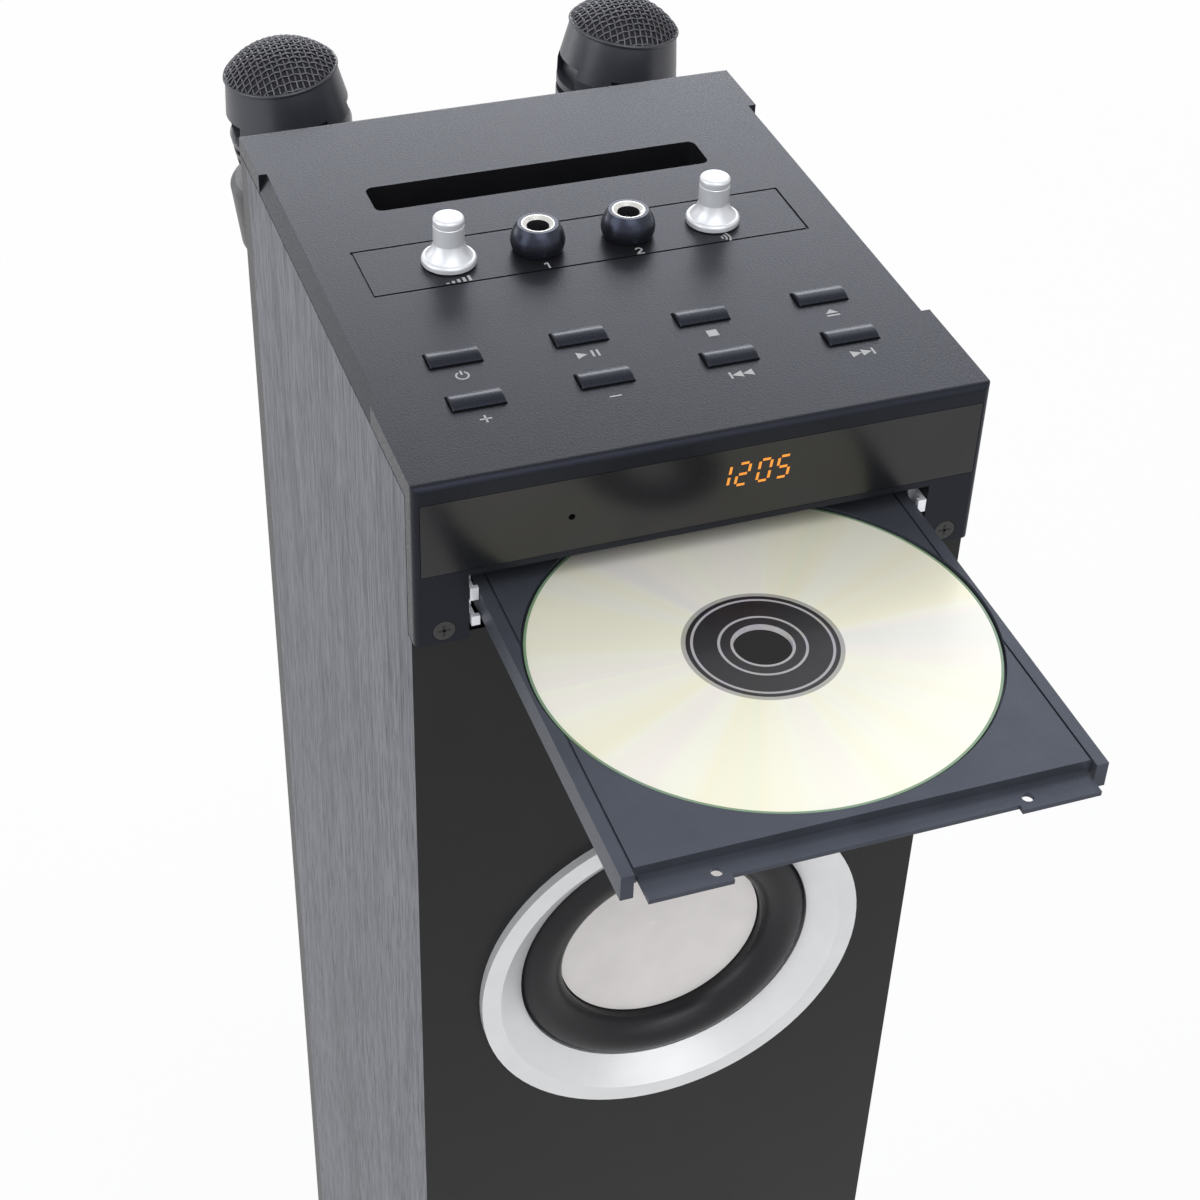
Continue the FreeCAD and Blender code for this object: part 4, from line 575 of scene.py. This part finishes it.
for name in ("upper_cone", "lower_cone"):
    low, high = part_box(name)
    centre = (low + high) / 2
    front = low.y - SKIRT_AHEAD
    back = low.y + SKIRT_BEHIND
    wall = [bar(i * SKIRT_TURN, front, (i + 1) * SKIRT_TURN, back) for i in range(SKIRT_STEPS)]
    place = put_round(centre.x, centre.z, (high.x - low.x) / 2 + SKIRT_GAP)
    flat_marks(f"{name}_skirt", wall, place, SLOT_LOOKS["surround_rubber"], "cabinet")


# Woven wire over the microphones' domes

MIC_X = 57.5 * MM
MIC_LEAN = math.radians(7)
RIM_RADIUS = 17.6 * MM
RIM_RISE = 1.5 * MM
RIM_WIRE = 0.7 * MM
RIM_STEPS = 64
DOME_RISE = 8 * MM
DOME_RADIUS = (RIM_RADIUS ** 2 + DOME_RISE ** 2) / (2 * DOME_RISE)
WIRE_RADIUS = 0.34 * MM
WIRE_PITCH = 1.9 * MM
WEAVE = 0.22 * MM


def tubes(name, paths, radius, look, body, closed=False):
    """Round wires along paths of points, as one mesh."""
    curve = bpy.data.curves.new(name, "CURVE")
    curve.dimensions = "3D"
    curve.bevel_depth = radius
    curve.bevel_resolution = 1
    for path in paths:
        spline = curve.splines.new("POLY")
        spline.points.add(len(path) - 1)
        for point, place in zip(spline.points, path):
            point.co = (*place, 1)
        spline.use_cyclic_u = closed
    maker = bpy.data.objects.new(f"{name}_path", curve)
    bpy.context.scene.collection.objects.link(maker)
    bpy.context.view_layer.update()
    mesh = bpy.data.meshes.new_from_object(maker.evaluated_get(bpy.context.evaluated_depsgraph_get()))
    bpy.data.objects.remove(maker)
    mesh.name = name
    mesh.materials.clear()
    mesh.materials.append(look)
    for polygon in mesh.polygons:
        polygon.use_smooth = True
    item = bpy.data.objects.new(name, mesh)
    bpy.context.scene.collection.objects.link(item)
    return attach(item, body)


def dome_height(r):
    return math.sqrt(DOME_RADIUS ** 2 - r * r) - (DOME_RADIUS - DOME_RISE)


def wire_paths():
    """Two crossing sets of wires that pass over and under each other."""
    count = int(RIM_RADIUS / WIRE_PITCH)
    for family in (0, 1):
        for k in range(-count, count + 1):
            across = k * WIRE_PITCH
            half = math.sqrt(RIM_RADIUS ** 2 - across ** 2)
            steps = max(6, int(4 * half / WIRE_PITCH))
            path = []
            for i in range(steps + 1):
                along = -half + 2 * half * i / steps
                r = min(math.hypot(across, along), RIM_RADIUS)
                turn = math.pi * (along / WIRE_PITCH + k + family)
                height = dome_height(r) + WIRE_RADIUS + WEAVE * math.cos(turn)
                path.append((across, along, height) if family else (along, across, height))
            yield path


def rim_path():
    for i in range(RIM_STEPS):
        angle = 2 * math.pi * i / RIM_STEPS
        yield RIM_RADIUS * math.cos(angle), RIM_RADIUS * math.sin(angle), 0


for side, sign in (("left", -1), ("right", 1)):
    body = f"{side}_microphone"
    low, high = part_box(f"{side}_mic_grille")
    seat = Matrix.Translation((MIC_X * sign, (low.y + high.y) / 2, TOP + RIM_RISE))
    stand = seat @ Matrix.Rotation(MIC_LEAN * sign, 4, "Y")
    wires = [[stand @ Vector(p) for p in path] for path in wire_paths()]
    tubes(f"{side}_mic_mesh", wires, WIRE_RADIUS, WIRE_LOOK, body)
    rim = [stand @ Vector(p) for p in rim_path()]
    tubes(f"{side}_mic_rim", [rim], RIM_WIRE, SLOT_LOOKS["mic_plastic"], body, closed=True)


# Studio

FLOOR_SIZE = 60
FLOOR_GLOW = 0.86
GLOW_RISE = (0.5, 2.5)
WORLD_LIGHT = 0.3
LAMP_COLOUR = (0.94, 0.96, 1.0)

# Each lamp has a name, a place, a point to aim at, a width and height, and watts
LAMPS = (
    ("back_box", (0.55, 1.9, 1.6), (0, 0, 0.85), (1.6, 0.7), 19),
    ("rim_box", (-1.4, 1.6, 0.85), (-0.08, 0, 0.85), (0.8, 0.8), 5),
    ("top_box", (0, -0.95, 2.1), (0, -0.1, 0.8), (1.2, 1.2), 14),
    ("right_box", (1.3, 1.2, 2.4), (0.05, -0.1, 0.8), (0.9, 0.9), 6),
    ("left_box", (-1.8, -0.1, 1.45), (0, 0, 0.65), (1.4, 1.8), 22),
    ("front_box", (0.5, -1.8, 1.5), (0, 0, 0.6), (1.4, 1.2), 5),
)


def sees_background(tree):
    """1 for rays that look at the studio or mirror it, 0 for rays that only carry light."""
    path = tree.nodes.new("ShaderNodeLightPath")
    found = path.outputs["Is Camera Ray"]
    for kind in ("Is Glossy Ray", "Is Transmission Ray"):
        either = tree.nodes.new("ShaderNodeMath")
        either.operation = "MAXIMUM"
        tree.links.new(found, either.inputs[0])
        tree.links.new(path.outputs[kind], either.inputs[1])
        found = either.outputs[0]
    return found


def floor_look():
    """White floor: it keeps a trace of shadow near the object and is all white further away."""
    look = Look("studio floor")
    cloud = look.noise(scale=2, detail=2)
    look.set(colour=look.shade(cloud, (0.90, 0.90, 0.90), (0.93, 0.93, 0.93)), rough=0.8)
    glow = look.add("ShaderNodeEmission", {"Color": WHITE, "Strength": 1.0})
    white_share = look.span(look.radius_from(0, 0), FLOOR_GLOW, 1.0, source=GLOW_RISE)
    share = look.math("MULTIPLY", sees_background(look.tree), white_share)
    blend = look.add("ShaderNodeMixShader", {0: share, 1: look.shader.outputs[0], 2: glow.outputs[0]})
    look.feed(look.tree.nodes["Material Output"].inputs["Surface"], blend.outputs[0])
    return look.material


def softbox(name, place, target, size, power):
    data = bpy.data.lights.new(name, "AREA")
    data.shape = "RECTANGLE"
    data.size, data.size_y = size
    data.energy = power
    data.color = LAMP_COLOUR
    item = bpy.data.objects.new(name, data)
    item.location = place
    item.rotation_euler = (Vector(target) - Vector(place)).to_track_quat("-Z", "Y").to_euler()
    bpy.context.scene.collection.objects.link(item)


bpy.ops.mesh.primitive_plane_add(size=FLOOR_SIZE, location=(0, 0, 0))
floor = bpy.context.object
floor.name = "studio_floor"
floor.data.materials.append(floor_look())

world = bpy.data.worlds.new("studio")
bpy.context.scene.world = world
world.use_nodes = True
sky = world.node_tree.nodes["Background"]
sky.inputs["Color"].default_value = WHITE
level = world.node_tree.nodes.new("ShaderNodeMapRange")
level.inputs["To Min"].default_value = WORLD_LIGHT
level.inputs["To Max"].default_value = 1.0
world.node_tree.links.new(sees_background(world.node_tree), level.inputs["Value"])
world.node_tree.links.new(level.outputs["Result"], sky.inputs["Strength"])

for lamp in LAMPS:
    softbox(*lamp)


# Camera, at the photograph's place

CAMERA_PLACE = (-0.19876, -0.51215, 1.19096)
CAMERA_TURN = (50.8046, -1.7054, -19.5481)
CAMERA_LENS = 70.35
CAMERA_SENSOR = 36
CAMERA_NEAR = 0.01

camera_data = bpy.data.cameras.new("photo_camera")
camera_data.lens = CAMERA_LENS
camera_data.sensor_width = CAMERA_SENSOR
camera_data.clip_start = CAMERA_NEAR
camera = bpy.data.objects.new("photo_camera", camera_data)
camera.location = CAMERA_PLACE
camera.rotation_euler = tuple(math.radians(angle) for angle in CAMERA_TURN)
bpy.context.scene.collection.objects.link(camera)
bpy.context.scene.camera = camera
bpy.context.scene.view_settings.view_transform = "Standard"

bpy.context.view_layer.update()
